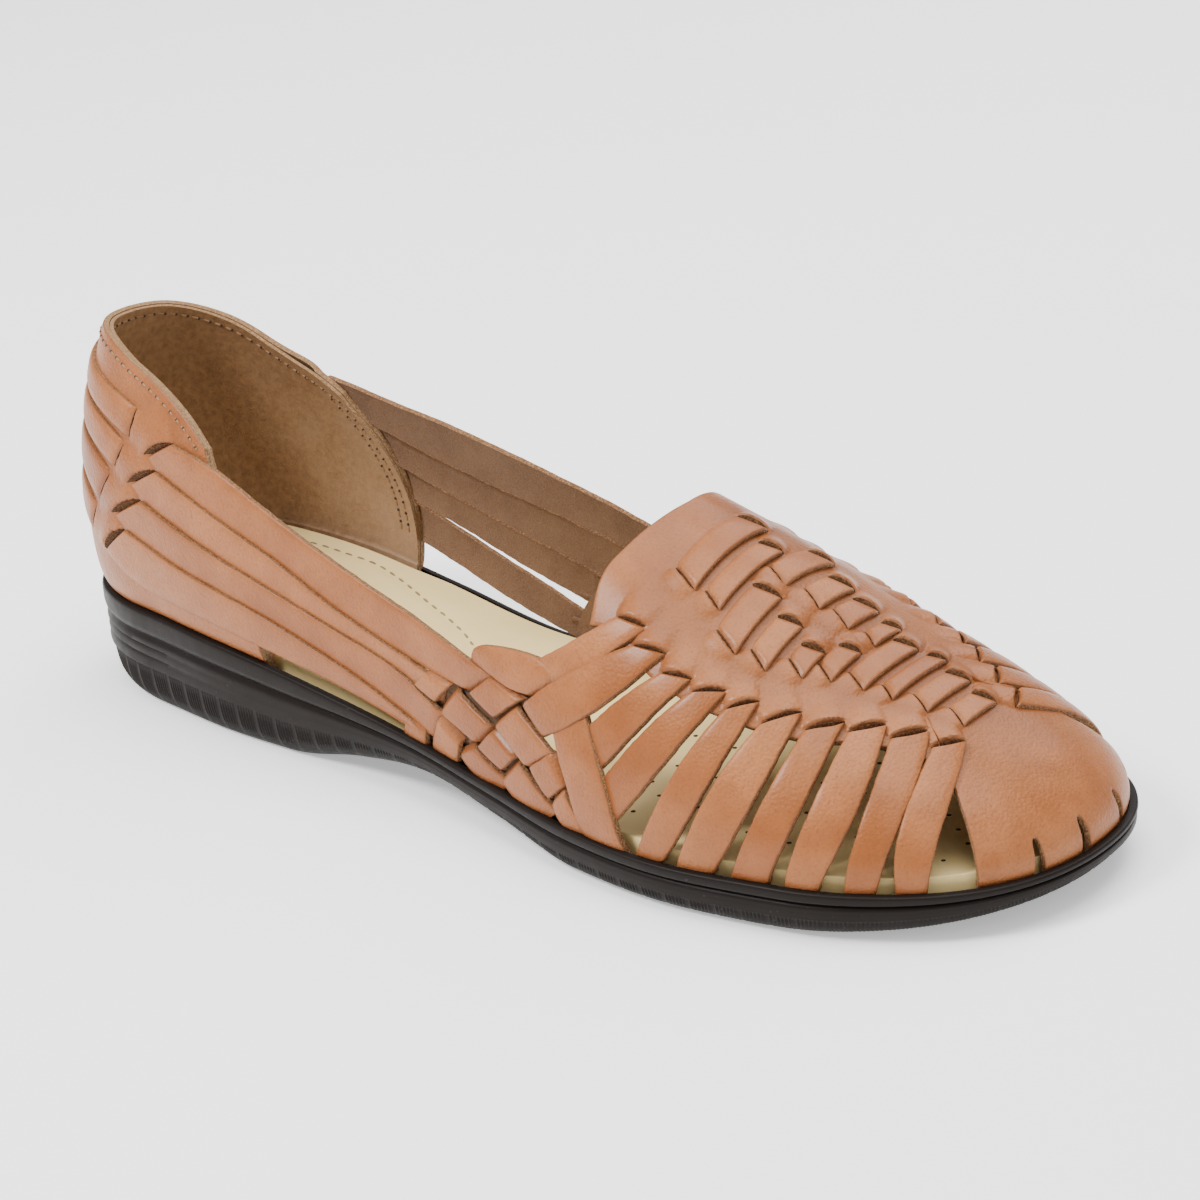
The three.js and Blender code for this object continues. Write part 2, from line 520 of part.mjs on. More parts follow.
// The vamp and its toe cap in one: a body up to the toe line, a fan over the toes and the cap's skirt
function vampSheet() {
  const across = 5;
  const toeLine = 1 - TOE_ARC / EDGE_LENGTH;
  const sidePoint = (q, share, side) => onLast(...onSide(side)([q, share]), 0);
  const body = spread(0, 1, 6).map((t) => {
    const edge = read(VAMP_EDGE, "g", mix(THROAT[0][0], toeLine, t));
    return spread(-1, 1, 2 * across).map((w) => {
      const [throatQ] = along(THROAT, 1 - Math.abs(w));
      return sidePoint(mix(throatQ, toeLine, t), mix(1, edge, Math.abs(w)), w <= 0 ? -1 : 1);
    });
  });
  const capQs = spread(CAP_SIDE, 1, 5);
  const toeQs = [...spread(toeLine, CAP_SIDE, 4).slice(0, -1), ...capQs];
  const toe = roundToe(toeQs).map(([q, side]) => {
    const edge = q < CAP_SIDE ? read(VAMP_EDGE, "g", q) : CAP_SHOULDER;
    return spread(edge, 1, across).map((share) => sidePoint(q, share, side));
  });
  const skirt = roundToe(capQs).map(([q, side]) => (
    spread(TUCK, CAP_SHOULDER, 4).map((share) => sidePoint(q, share, side))
  ));
  return thicken([body, toe, skirt], LEATHER);
}

function capSlit({ q, top }) {
  const half = SLIT_WIDTH / 2 / EDGE_LENGTH;
  const [rear, front] = [-half, half].map((w) => [[q + 1.4 * w, 0.2 * TUCK], [q + w, top / 2], [q + 0.6 * w, top]]);
  return strip({ rear, front, lifts: [LEATHER, LEATHER], steps: 4, wall: 3 * LEATHER });
}

function fanStrip(row, toSide) {
  const foot = (q, midQ, midG) => [q + (midQ - q) * FOOT_SHARE / midG, FOOT_SHARE];
  const rear = [foot(row.rearFoot, row.rearQ, row.rearG), [row.rearQ, row.rearG], [row.topQ, row.topG]];
  const front = [foot(row.frontFoot, row.frontQ, row.frontG), [row.frontQ, row.frontG], [row.tipQ, row.tipG]];
  return strip({ rear: rear.map(toSide), front: front.map(toSide), lifts: FANNED, steps: 3 });
}

// How far a woven piece reaches under its neighbours, as a share of its size
const WOVEN_REACH = 1.05;
function wovenPiece({ from, to }, toSide) {
  const corners = [...from, ...to];
  const middle = [0, 1].map((axis) => corners.reduce((sum, p) => sum + p[axis], 0) / corners.length);
  const wide = ([q, g]) => [mix(middle[0], q, WOVEN_REACH), mix(middle[1], g, WOVEN_REACH)];
  const lifts = Math.min(to[0][1], to[1][1]) > 0.01 ? CROWNED : FOOTED;
  const [rear, front] = [0, 1].map((k) => [from[k], to[k]].map((p) => toSide(wide(p))));
  return strip({ rear, front, lifts, steps: 2, wall: WOVEN_WALL });
}

function vampPiece({ at, width, outer, inner }) {
  const row = (x, flare, t) => underPlan(x, BALL_WIDTH * mix(outer - flare, inner + flare, t));
  const rows = spread(0, 1, inner - outer > 0.15 ? 3 : 2).map((t) => {
    const lift = t === 0 ? -0.2 * STRIP_RAISE : STRIP_RAISE;
    return [onLast(...row(SOLE_LENGTH * (at - width / 2), 0, t), lift),
      onLast(...row(SOLE_LENGTH * (at + width / 2), TILE_FLARE, t), lift)];
  });
  return thicken([rows], WOVEN_WALL);
}

// The counter runs from its front edge on the inner side round the heel to the one on the outer side
function counterSheet() {
  const rows = spread(-1, 1, 16).map((w) => {
    const side = w < 0 ? 1 : -1;
    const [front, collar] = side < 0 ? [OUTER_FRONT, OUTER_COLLAR] : [INNER_FRONT, INNER_COLLAR];
    const topQ = front[front.length - 1][0];
    const top = read(collar, "g", topQ * Math.abs(w));
    return [TUCK, ...spread(0, 1, 4).map((t) => t * top)].map((share) => {
      const [frontQ] = along(front, clamp(share / front[front.length - 1][1], 0, 1));
      return onLast(...onSide(side)([frontQ * Math.abs(w), share]), 0);
    });
  });
  return thicken([rows], COUNTER_WALL);
}

// The band that holds the feet of all strips together, in the sole's recess
function lastingBand(toSide) {
  const [rear, front] = [0.9, 0.1].map((share) => BAND_ENDS.map((q) => toSide([q, share * TUCK])));
  return strip({ rear, front, lifts: [BAND_SPARE, BAND_SPARE], steps: 18, wall: LEATHER + 2 * BAND_SPARE });
}

function upperPieces() {
  const pieces = [vampSheet(), counterSheet()];
  const add = (row, toSide, form) => {
    pieces.push(strip({ rear: row.rear.map(toSide), front: row.front.map(toSide), ...form }));
  };
  for (const row of VAMP_WEAVE) pieces.push(vampPiece(row));
  for (const side of [-1, 1]) {
    const toSide = onSide(side);
    pieces.push(lastingBand(toSide));
    for (const row of FAN_STRIPS) pieces.push(fanStrip(row, toSide));
    for (const row of SLANT_STRIPS) add(row, toSide, { lifts: RISING, steps: 3 });
    add(WEAVE_WALL, toSide, { lifts: [-0.2, -0.2], steps: 4, across: 3, wall: WOVEN_WALL });
    for (const row of WEAVE) pieces.push(wovenPiece(row, toSide));
    add(WEAVE_TURN, toSide, { lifts: CROWNED, steps: 5 });
    add(CROSS_STRAP, toSide, { lifts: PLANTED, steps: 4 });
    for (const row of side < 0 ? OUTER_STRAPS : INNER_STRAPS) add(row, toSide, { lifts: SETTLING, steps: 5 });
    for (const row of HEEL_STRAPS) add(row, toSide, { lifts: CROWNED, steps: 3 });
  }
  return pieces;
}

function upperSolid() {
  const [first, ...others] = upperPieces().map(toSolid);
  const joined = others.reduce((solid, piece) => solid.add(piece), first);
  return CAP_SLITS.reduce((solid, row) => solid.subtract(toSolid(capSlit(row))), joined);
}

// Points round the sole: t from 0 at the heel over the outer side to 1 at the toe, back over the inner side
function ringPoint(t, inset) {
  const place = (s) => {
    const turn = (s + 2) % 2;
    const x = alongShoe(turn <= 1 ? turn : 2 - turn);
    return new THREE.Vector2(x, outlineY(x, turn <= 1 ? -1 : 1));
  };
  const p = place(t);
  const tangent = place(t + 0.002).sub(place(t - 0.002)).normalize();
  return new THREE.Vector2(p.x - tangent.y * inset, p.y + tangent.x * inset);
}

const undersideHeight = (x) => Math.max(0, ARCH_RISE * read(UNDERSIDE, "arch", x / SOLE_LENGTH)
  + TOE_SPRING * read(UNDERSIDE, "spring", x / SOLE_LENGTH));

// A closed piece between rings of points that all have the same order round the sole, the first and last
// ring closed by flat rows from the outer to the inner side
function stackRings(rings) {
  const count = rings[0].length;
  const index = [];
  for (let k = 0; k + 1 < rings.length; k += 1) {
    for (let i = 0; i < count; i += 1) {
      const [a, b] = [k * count + i, k * count + (i + 1) % count];
      index.push(a, b, b + count, a, b + count, a + count);
    }
  }
  for (const [base, turned] of [[0, true], [(rings.length - 1) * count, false]]) {
    for (let i = 0; i < count / 2; i += 1) {
      const [outer, inner] = [base + i, base + (count - i) % count];
      const [nextOuter, nextInner] = [outer + 1, base + count - i - 1];
      for (const face of [[outer, nextOuter, nextInner], [outer, nextInner, inner]]) {
        if (new Set(face).size === 3) index.push(...(turned ? face.reverse() : face));
      }
    }
  }
  const geometry = new THREE.BufferGeometry();
  const position = rings.flat().flatMap((p) => [p.x, p.y, p.z]);
  geometry.setAttribute("position", new THREE.Float32BufferAttribute(position, 3));
  geometry.setIndex(index);
  return geometry;
}

function outsole() {
  const stations = 2 * RIB_COUNT;
  const ring = (height, inset) => Array.from({ length: stations }, (_, i) => {
    const t = 2 * i / stations;
    const p = ringPoint(t, inset(t, i));
    return new THREE.Vector3(p.x, p.y, height(p.x));
  });
  const recess = (x) => rimHeight(x) - RECESS_DEPTH;
  const tuck = (t, x) => WELT_ROUND * read(UNDERSIDE, t <= 1 ? "outer" : "inner", x / SOLE_LENGTH);
  const rings = [ring(recess, () => LIP_WIDTH), ring(rimHeight, () => LIP_WIDTH)];
  for (const row of SOLE_SIDE) {
    const inset = (t, i) => {
      const x = alongShoe(t <= 1 ? t : 2 - t);
      const rib = row.ribbed * (i % 2) * RIB_DEPTH;
      return row.draw * tuck(t, x) + row.cut * GROOVE_DEPTH + rib;
    };
    rings.push(ring((x) => mix(rimHeight(x), undersideHeight(x), row.drop), inset));
  }
  return stackRings(rings);
}

function insole() {
  const stations = 60;
  const wall = (x) => mix(COUNTER_WALL, LEATHER + BAND_SPARE, clamp((x / SOLE_LENGTH - 0.26) / 0.04, 0, 1));
  const ring = (rise, extra) => Array.from({ length: stations }, (_, i) => {
    const t = 2 * i / stations;
    const p = ringPoint(t, FEATHER_INSET + wall(alongShoe(t <= 1 ? t : 2 - t)) + INSOLE_GAP + extra);
    return new THREE.Vector3(p.x, p.y, rimHeight(p.x) + rise);
  });
  const under = FIT_GAP - RECESS_DEPTH;
  return stackRings([ring(under, 0), ring(INSOLE_RISE - INSOLE_BEVEL, 0), ring(INSOLE_RISE, INSOLE_BEVEL)]);
}

function named(name, geometry, color, roughness) {
  const mesh = new THREE.Mesh(geometry, new THREE.MeshStandardMaterial({ color, roughness, metalness: 0 }));
  mesh.name = name;
  return mesh;
}

const shoe = new THREE.Group();
shoe.add(named("outsole", fromSolid(toSolid(outsole())), 0x2b2220, 0.55));
shoe.add(named("insole", fromSolid(toSolid(insole())), 0xc9b894, 0.8));
shoe.add(named("upper", fromSolid(upperSolid()), 0xb9714a, 0.6));

const box = new THREE.Box3().setFromObject(shoe);
const middle = box.getCenter(new THREE.Vector3());
shoe.position.set(-middle.x, -middle.y, -box.min.z);
shoe.updateMatrixWorld(true);
export default shoe;
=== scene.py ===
# %% [markdown]
# # A woven leather huarache
#
# The shoe has a closed heel, straps along both sides, a basket weave at the waist, strips that fan out
# over the toes and a toe cap with slits. All of its leather was pulled over one last, the shoemaker's
# form of a foot. So this script draws the last once, as a chart, and lays every strip on that chart.
# The CAD model of the same shoe is loaded first. It gives the place and the size of everything, and its
# three plain solids are then replaced by finer pieces. Lengths are in millimetres until a mesh is made.

# %% The CAD frame
import math

import bpy
import numpy as np
from mathutils import Matrix, Vector


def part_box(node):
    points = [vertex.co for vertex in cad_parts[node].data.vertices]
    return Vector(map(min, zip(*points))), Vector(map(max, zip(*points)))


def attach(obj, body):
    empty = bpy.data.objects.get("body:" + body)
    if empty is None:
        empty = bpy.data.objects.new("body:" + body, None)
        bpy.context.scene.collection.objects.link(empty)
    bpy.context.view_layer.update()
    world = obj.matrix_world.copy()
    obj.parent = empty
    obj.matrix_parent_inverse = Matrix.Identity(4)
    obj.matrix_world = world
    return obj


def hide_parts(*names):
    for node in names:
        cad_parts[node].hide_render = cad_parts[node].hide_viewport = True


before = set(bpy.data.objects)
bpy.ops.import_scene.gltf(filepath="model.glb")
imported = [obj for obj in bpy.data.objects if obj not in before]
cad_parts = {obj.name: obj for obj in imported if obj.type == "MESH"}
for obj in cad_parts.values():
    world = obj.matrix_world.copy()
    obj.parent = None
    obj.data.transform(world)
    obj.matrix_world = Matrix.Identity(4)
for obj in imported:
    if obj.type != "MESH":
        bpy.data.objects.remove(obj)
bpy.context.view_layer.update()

# %% [markdown]
# ## The last
#
# A last has no straight line that could be measured, so it is written as a few cross sections, each with
# its place, its width, the height of the sole's rim and the height of the ridge over the foot. A smooth
# curve through the rows fills in the rest. A table is short, can be read, and moves the whole shoe when
# one row changes.

# %% Sizes and sections of the last
SOLE_LENGTH, BALL_WIDTH, HEEL_RIM, LAST_HEIGHT = 262.0, 86.0, 24.5, 106.0
HEEL_ROUND, TOE_ROUND, END_FULLNESS = 31.0, 44.0, 2.15
LIP_WIDTH, RECESS_DEPTH, UPPER_TUCK = 1.7, 4.0, 3.4
FEATHER_INSET = LIP_WIDTH + 0.4  # from the sole's outline to the leather
TUCK_SHARE, LAST_BULGE, LEAST_BULGE = 0.1, 3.0, 0.25
RIDGE_SHIFT, SHIFT_START, SHIFT_RUN = 0.035, 0.45, 0.4  # the ridge moves inwards over the forefoot
HEEL_ARC, TOE_ARC = HEEL_ROUND * math.pi / 2, TOE_ROUND * math.pi / 2
EDGE_LENGTH = HEEL_ARC + SOLE_LENGTH - HEEL_ROUND - TOE_ROUND + TOE_ARC


def columns(names, rows):
    """A table as one array for each named column."""
    return dict(zip(names.split(), np.array(rows, float).T))


LAST = columns("at middle half rim ridge full", [
    (0.0, 0.041, 0.302, 0.98, 1.0, 2.1), (0.1, 0.035, 0.32, 1.0, 0.991, 2.1),
    (0.2, 0.012, 0.34, 0.959, 0.953, 2.1), (0.3, -0.006, 0.337, 0.837, 0.901, 2.05),
    (0.42, -0.027, 0.337, 0.653, 0.816, 2.0), (0.53, -0.03, 0.393, 0.518, 0.726, 1.95),
    (0.63, -0.026, 0.463, 0.441, 0.642, 1.95), (0.72, -0.015, 0.5, 0.42, 0.542, 2.0),
    (0.82, 0.005, 0.488, 0.433, 0.401, 2.15), (0.91, 0.035, 0.463, 0.433, 0.316, 2.2),
    (1.0, 0.067, 0.465, 0.441, 0.283, 2.2),
])
print("the last has", len(LAST["at"]), "sections")

# %% [markdown]
# Two kinds of curve are needed: one through the rows of a table, and one through a short list of points,
# for the edges of a strip. Both are cubic pieces between neighbours, so a row that is moved bends only its
# surroundings. A spline library would do as well, but these lines show all that happens.

# %% Reading a table as a smooth curve


def read(table, column, at):
    """One column of a table as a smooth curve through its rows."""
    xs, ys = table["at"], table[column]
    x = np.clip(at, xs[0], xs[-1])
    i = np.clip(np.searchsorted(xs, x, side="right") - 1, 0, len(xs) - 2)
    before = np.maximum(np.arange(len(xs)) - 1, 0)
    after = np.minimum(np.arange(len(xs)) + 1, len(xs) - 1)
    slope = (ys[after] - ys[before]) / (xs[after] - xs[before])
    step = xs[i + 1] - xs[i]
    t = (x - xs[i]) / step
    rise = t * t * (3 - 2 * t)
    bend = step * t * (1 - t) * ((1 - t) * slope[i] - t * slope[i + 1])
    return (1 - rise) * ys[i] + rise * ys[i + 1] + bend


def along(points, t):
    """A smooth curve through a short list of points at the shares t, straight on past its ends."""
    p = np.array(points, float)
    p = p[:, None] if p.ndim == 1 else p
    t = np.asarray(t, float)
    pace = np.clip(t, 0, 1) * (len(p) - 1)
    i = np.minimum(pace.astype(int), len(p) - 2)
    u = (pace - i)[..., None]
    a, b, c, d = (p[np.clip(i + k, 0, len(p) - 1)] for k in (-1, 0, 1, 2))
    curve = 0.5 * (2 * b + (c - a) * u + (2 * a - 5 * b + 4 * c - d) * u**2 + (3 * b - a - 3 * c + d) * u**3)
    start, end = (p[1] - p[0]) * (len(p) - 1), (p[-1] - p[-2]) * (len(p) - 1)
    return curve + np.minimum(t, 0)[..., None] * start + np.maximum(t - 1, 0)[..., None] * end


print("rim beside the ball", round(HEEL_RIM * float(read(LAST, "rim", 0.72)), 1), "mm")

# %% [markdown]
# A point of the chart is a pair of shares. The share q runs round the sole's edge, from the heel at 0 to
# the toe tip at 1, and g runs over the foot, from the outer rim at 0 over the ridge at 1 to the inner rim
# at 2. Below 0 the leather goes down into the recess of the sole. First come the lines that a shoemaker
# draws as well: the outline in plan, the rim and the ridge.

# %% Lines of the last


def along_shoe(q):
    """Place along the shoe, in mm from the heel, of the share q of its edge."""
    run = np.asarray(q, float) * EDGE_LENGTH
    heel = HEEL_ROUND * (1 - np.cos(np.minimum(run, HEEL_ARC) / HEEL_ROUND))
    toe = SOLE_LENGTH - TOE_ROUND * (1 - np.cos(np.minimum(EDGE_LENGTH - run, TOE_ARC) / TOE_ROUND))
    straight = HEEL_ROUND + run - HEEL_ARC
    return np.where(run < HEEL_ARC, heel, np.where(run < EDGE_LENGTH - TOE_ARC, straight, toe))


def end_round(x, radius):
    reach = np.clip(1 - x / radius, 0, 1)
    return (1 - reach**END_FULLNESS) ** (1 / END_FULLNESS)


def outline_y(x, side):
    """The sole's outline in plan: side is -1 on the outer side and 1 on the inner side."""
    at = x / SOLE_LENGTH
    half = read(LAST, "half", at) * end_round(x, HEEL_ROUND) * end_round(SOLE_LENGTH - x, TOE_ROUND)
    return BALL_WIDTH * (read(LAST, "middle", at) + side * half)


def rim_height(x):
    return HEEL_RIM * read(LAST, "rim", x / SOLE_LENGTH)


def ridge_height(x):
    return LAST_HEIGHT * read(LAST, "ridge", x / SOLE_LENGTH)


def ridge_point(x):
    px = np.clip(x, HEEL_ROUND, SOLE_LENGTH - TOE_ROUND)
    return px, RIDGE_SHIFT * BALL_WIDTH * np.clip((px / SOLE_LENGTH - SHIFT_START) / SHIFT_RUN, 0, 1)


print("sides of the ball, mm:", [round(float(outline_y(0.72 * SOLE_LENGTH, s)), 1) for s in (-1, 1)])

# %% [markdown]
# A point of the last is found by walking from the outline towards the ridge, along the curve of a
# superellipse. The outward normal comes from two tiny steps on the chart, because a leather's thickness
# and every raised strip follow it.

# %% The chart of the last


def last_point(q, g):
    """Points of the last in mm. A q past heel or toe goes on along the other side of the foot."""
    q, g = (a.copy() for a in np.broadcast_arrays(np.asarray(q, float), np.asarray(g, float)))
    for past, turned in ((q > 1, 2 - q), (q < 0, -q)):
        g = np.where(past, 2 - g, g)
        q = np.where(past, turned, q)
    side = np.where(g <= 1, -1.0, 1.0)
    share = np.where(g <= 1, g, 2 - g)
    x = along_shoe(q)
    px, py = ridge_point(x)
    y = outline_y(x, side)
    way = np.hypot(px - x, py - y) + 1e-9
    full = read(LAST, "full", x / SOLE_LENGTH)
    angle = np.clip(share, 0, 1) * np.pi / 2
    inward = 1 - np.maximum(np.cos(angle), 0) ** (2 / full)
    up = np.sin(angle) ** (2 / full)
    swell = LAST_BULGE * np.clip(2 - 4 * x / SOLE_LENGTH, LEAST_BULGE, 1) * np.sin(np.pi * np.sqrt(up))
    run = FEATHER_INSET + (way - FEATHER_INSET) * inward - swell
    sx = x + (px - x) / way * run
    drop = np.where(share < 0, share / TUCK_SHARE * UPPER_TUCK, 0)
    z = rim_height(x) + (ridge_height(sx) - rim_height(x)) * up + drop
    return np.stack([sx, y + (py - y) / way * run, z], -1)


NORMAL_STEP, STEP_END = 0.004, 0.97  # a step on the chart, and the share up to which it is taken
TOP_START, TOP_RUN = 0.9, 0.1  # over these shares the normal turns into the ridge's own


def unit(v):
    return v / (np.linalg.norm(v, axis=-1, keepdims=True) + 1e-12)


def last_normal(q, g):
    """Directions out of the last, level inside the sole's recess and square to the ridge on top."""
    q, g = np.broadcast_arrays(np.asarray(q, float), np.asarray(g, float))
    share = np.where(g <= 1, g, 2 - g)
    flat = np.clip(share, 0, STEP_END)
    level = np.where(g <= 1, flat, 2 - flat)
    along_q = last_point(q + NORMAL_STEP, level) - last_point(q - NORMAL_STEP, level)
    over_g = last_point(q, level + NORMAL_STEP) - last_point(q, level - NORMAL_STEP)
    normal = unit(np.cross(along_q, over_g))
    x = last_point(q, g)[..., 0]
    slope = (ridge_height(x + 1) - ridge_height(x - 1)) / 2
    ridge = unit(np.stack([-slope, 0 * x, 1 + 0 * x], -1))
    top = np.clip((share - TOP_START) / TOP_RUN, 0, 1)[..., None]
    normal = unit(normal * (1 - top) + ridge * top)
    level_normal = normal * np.array([1, 1, 0])
    return unit(np.where((share < 0)[..., None], level_normal, normal))


print("top of the heel", last_point(0, 0.52).round(1), "throat", last_point(0.61, 1).round(1))

# %% [markdown]
# The chart's zero is at the heel and the row's zero is in the middle of the shoe. The two are tied
# together by the corner of the CAD outsole, so that a piece drawn on the chart lands where the CAD says.

# %% From the chart to the row's frame
MM = 0.001
sole_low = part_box("outsole")[0]
outer_reach = float(outline_y(np.linspace(0, SOLE_LENGTH, 400), -1).min())
ORIGIN = np.array([sole_low.x / MM, sole_low.y / MM - outer_reach, 0])


def to_row(points):
    return (np.asarray(points, float) + ORIGIN) * MM


print("chart zero in the row's frame, mm", ORIGIN.round(2))

# %% [markdown]
# ## Camera
#
# The camera stands in front of the toes on the outer side, a little above the shoe, and is rolled by a
# few degrees. It is placed on the chart, so it keeps its angle to the shoe, and then turned so that the
# one shoe is in the middle of the square picture. A long lens keeps the heel from shrinking.

# %% Camera


def placed(name, data):
    """A new object in the scene, at its origin."""
    made = bpy.data.objects.new(name, data)
    bpy.context.scene.collection.objects.link(made)
    return made


CAMERA_PLACE = np.array([625.1, -557.2, 356.3])
AZIMUTH, ELEVATION, ROLL = math.radians(38.46), math.radians(20.41), math.radians(-4.42)
PICTURE, FOCAL_PIXELS = 1200, 3571
SHOE_MIDDLE = np.array([478, 786])  # pixel of the shoe's middle in the photo's frame
ZOOM, SENSOR = 1.08, 36.0

back = np.array([
    math.sin(AZIMUTH) * math.cos(ELEVATION), -math.cos(AZIMUTH) * math.cos(ELEVATION), math.sin(ELEVATION),
])
level_right = unit(np.cross(-back, [0, 0, 1]))
level_down = np.cross(-back, level_right)
photo_right = math.cos(ROLL) * level_right - math.sin(ROLL) * level_down
photo_down = math.sin(ROLL) * level_right + math.cos(ROLL) * level_down
offset = (SHOE_MIDDLE - PICTURE / 2) / FOCAL_PIXELS
aim = unit(-back + offset[0] * photo_right + offset[1] * photo_down)
right = unit(photo_right - photo_right.dot(aim) * aim)
up = np.cross(right, aim)
camera = placed("camera", bpy.data.cameras.new("camera"))
turn = Matrix([right, up, -aim]).transposed().to_4x4()
camera.matrix_world = Matrix.Translation(Vector(to_row(CAMERA_PLACE))) @ turn
camera.data.sensor_width = SENSOR
camera.data.lens = SENSOR * FOCAL_PIXELS / PICTURE * ZOOM
camera.data.clip_start, camera.data.clip_end = 0.05, 20
bpy.context.scene.camera = camera
print("lens", round(camera.data.lens, 1), "mm")

# %% [markdown]
# ## Writing finishes as sums
#
# A procedural finish is a small calculation: grain plus mottling, darker near an edge. Written as nodes
# and links it is long and hard to read. The class below wraps a socket, so that an ordinary expression
# such as 1 - mask adds the Math nodes that it needs, and one function makes every other kind of node.

# %% Sums of sockets


def feed(tree, node, key, value):
    """A value or a link into one socket of a node."""
    value = getattr(value, "socket", value)
    if isinstance(value, bpy.types.NodeSocket):
        tree.links.new(value, node.inputs[key])
    else:
        node.inputs[key].default_value = value


def add_node(tree, kind, settings=None, sockets=None):
    """A node of a tree: its settings first, then the values or links of its sockets."""
    made = tree.nodes.new(kind)
    for name, value in (settings or {}).items():
        setattr(made, name, value)
    for key, value in (sockets or {}).items():
        feed(tree, made, key, value)
    return made


class Amount:
    """A socket that can be used in sums and products."""

    def __init__(self, finish, socket):
        self.finish, self.socket = finish, socket

    def math(self, operation, first, second, clamp=False):
        settings = {"operation": operation, "use_clamp": clamp}
        return self.finish.node("ShaderNodeMath", settings, {0: first, 1: second})

    def __add__(self, other):
        return self.math("ADD", self, other)

    def __sub__(self, other):
        return self.math("SUBTRACT", self, other)

    def __rsub__(self, other):
        return self.math("SUBTRACT", other, self)

    def __mul__(self, other):
        return self.math("MULTIPLY", self, other)

    __radd__ = __add__
    __rmul__ = __mul__

    def held(self):
        """The same amount, kept from 0 to 1."""
        return self.math("ADD", self, 0.0, clamp=True)


print("amounts understand + - *")

# %% [markdown]
# A finish is a material with one shader. Its methods give the patterns that leather, rubber and thread
# are painted with: noise, spots, cells, the attributes of a mesh and blends of two colours. Sizes are in
# millimetres of the real shoe, so the grain keeps its size on every piece.

# %% Finishes written as expressions


class Finish:
    """A material with one Principled shader, made from expressions."""

    def __init__(self, name, **fixed):
        self.material = bpy.data.materials.new(name)
        self.material.use_nodes = True
        self.tree = self.material.node_tree
        self.tree.nodes.clear()
        self.shader = self.tree.nodes.new("ShaderNodeBsdfPrincipled")
        add_node(self.tree, "ShaderNodeOutputMaterial", None, {0: self.shader.outputs[0]})
        self.place = self.node("ShaderNodeTexCoord", output="Object")
        self.paint(**fixed)

    def node(self, kind, settings=None, sockets=None, output=0):
        return Amount(self, add_node(self.tree, kind, settings, sockets).outputs[output])

    def pattern(self, kind, size_mm, **sockets):
        return self.node(kind, None, {"Vector": self.place, "Scale": 1 / (size_mm * MM), **sockets})

    def noise(self, size_mm, detail=2.0, roughness=0.5):
        return self.pattern("ShaderNodeTexNoise", size_mm, Detail=detail, Roughness=roughness)

    def spots(self, size_mm, detail, roughness, start, gain):
        """Noise stretched to run from 0, where it is below start, up to 1."""
        return ((self.noise(size_mm, detail, roughness) - start) * gain).held()

    def cells(self, size_mm):
        return self.pattern("ShaderNodeTexVoronoi", size_mm)

    def attribute(self, name):
        return self.node("ShaderNodeAttribute", {"attribute_name": name}, output="Fac")

    def blend(self, amount, first, second):
        """A colour between two, by an amount from 0 to 1."""
        sockets = {0: amount}
        for key, colour in ((6, first), (7, second)):
            sockets[key] = colour if isinstance(colour, Amount) else (*colour, 1)
        return self.node("ShaderNodeMix", {"data_type": "RGBA"}, sockets, output=2)

    def paint(self, **inputs):
        """Values or expressions for the shader's sockets, with _ for a space in their names."""
        for socket, value in inputs.items():
            feed(self.tree, self.shader, socket.replace("_", " "), value)

    def relief(self, height, depth_mm):
        sockets = {"Height": height, "Distance": depth_mm * MM, "Strength": 1.0}
        self.paint(Normal=self.node("ShaderNodeBump", None, sockets))


print("what a finish can do:", [name for name in vars(Finish) if name[0] != "_"])

# %% [markdown]
# The tan leather is vegetable tanned and waxed by hand: pinkish where it is thin with wax, more orange in
# broad patches and darker along the cut edges. Shade is painted into it too: it is darker where a strip
# dives under another and in the low valleys between slit lips. Its grain is a fine pebble of under a
# millimetre. Three attributes of the meshes drive it: from_edge, the distance to the nearest cut edge in
# millimetres, bend, the painted shade of a dive or a valley, and tone, a number from 0 to 1 for each
# strip, because strips are cut from different parts of a hide.

# %% Tan leather
leather = Finish("tan leather", Specular_IOR_Level=0.2, Specular_Tint=(1.0, 0.84, 0.68, 1.0),
                 Coat_Roughness=0.23, Coat_Tint=(1.0, 0.93, 0.86, 1.0))
patches = ((leather.noise(26, 3, 0.6) - 0.46) * 3.0 + leather.attribute("tone") * 0.75).held()
streaks = leather.spots(7, 2, 0.5, 0.42, 3.0)
near_edge = (1 - leather.attribute("from_edge") * 2.8).held()
worn_edge = (near_edge * (0.4 + leather.noise(2.2, 2) * 0.9)).held()
dive_shade = leather.attribute("bend").held()
pores = leather.spots(0.65, 3, 0.65, 0.5, 4.0)
tan = leather.blend(patches, (0.365, 0.134, 0.049), (0.26, 0.08, 0.021))
tan = leather.blend(streaks * 0.35, tan, (0.2, 0.062, 0.018))
# painted shade, darker where a strip dives under its neighbour and in the valleys between slit lips
tan = leather.blend(dive_shade * 0.5, tan, (0.16, 0.048, 0.013))
tan = leather.blend(pores * 0.5, tan, (0.165, 0.054, 0.018))
tan = leather.blend(worn_edge * 0.6, tan, (0.1, 0.05, 0.026))
pebble = (1 - leather.cells(0.75)) * 0.5 + leather.noise(0.4, 2) * 0.4
creases = leather.noise(3.0, 4, 0.7)
leather.paint(Base_Color=tan, Roughness=0.34 + leather.noise(5, 2) * 0.16 + worn_edge * 0.25,
              Coat_Weight=0.12 + patches * 0.14)
leather.relief(pebble + creases * 0.3, 0.24)
print("made", leather.material.name)
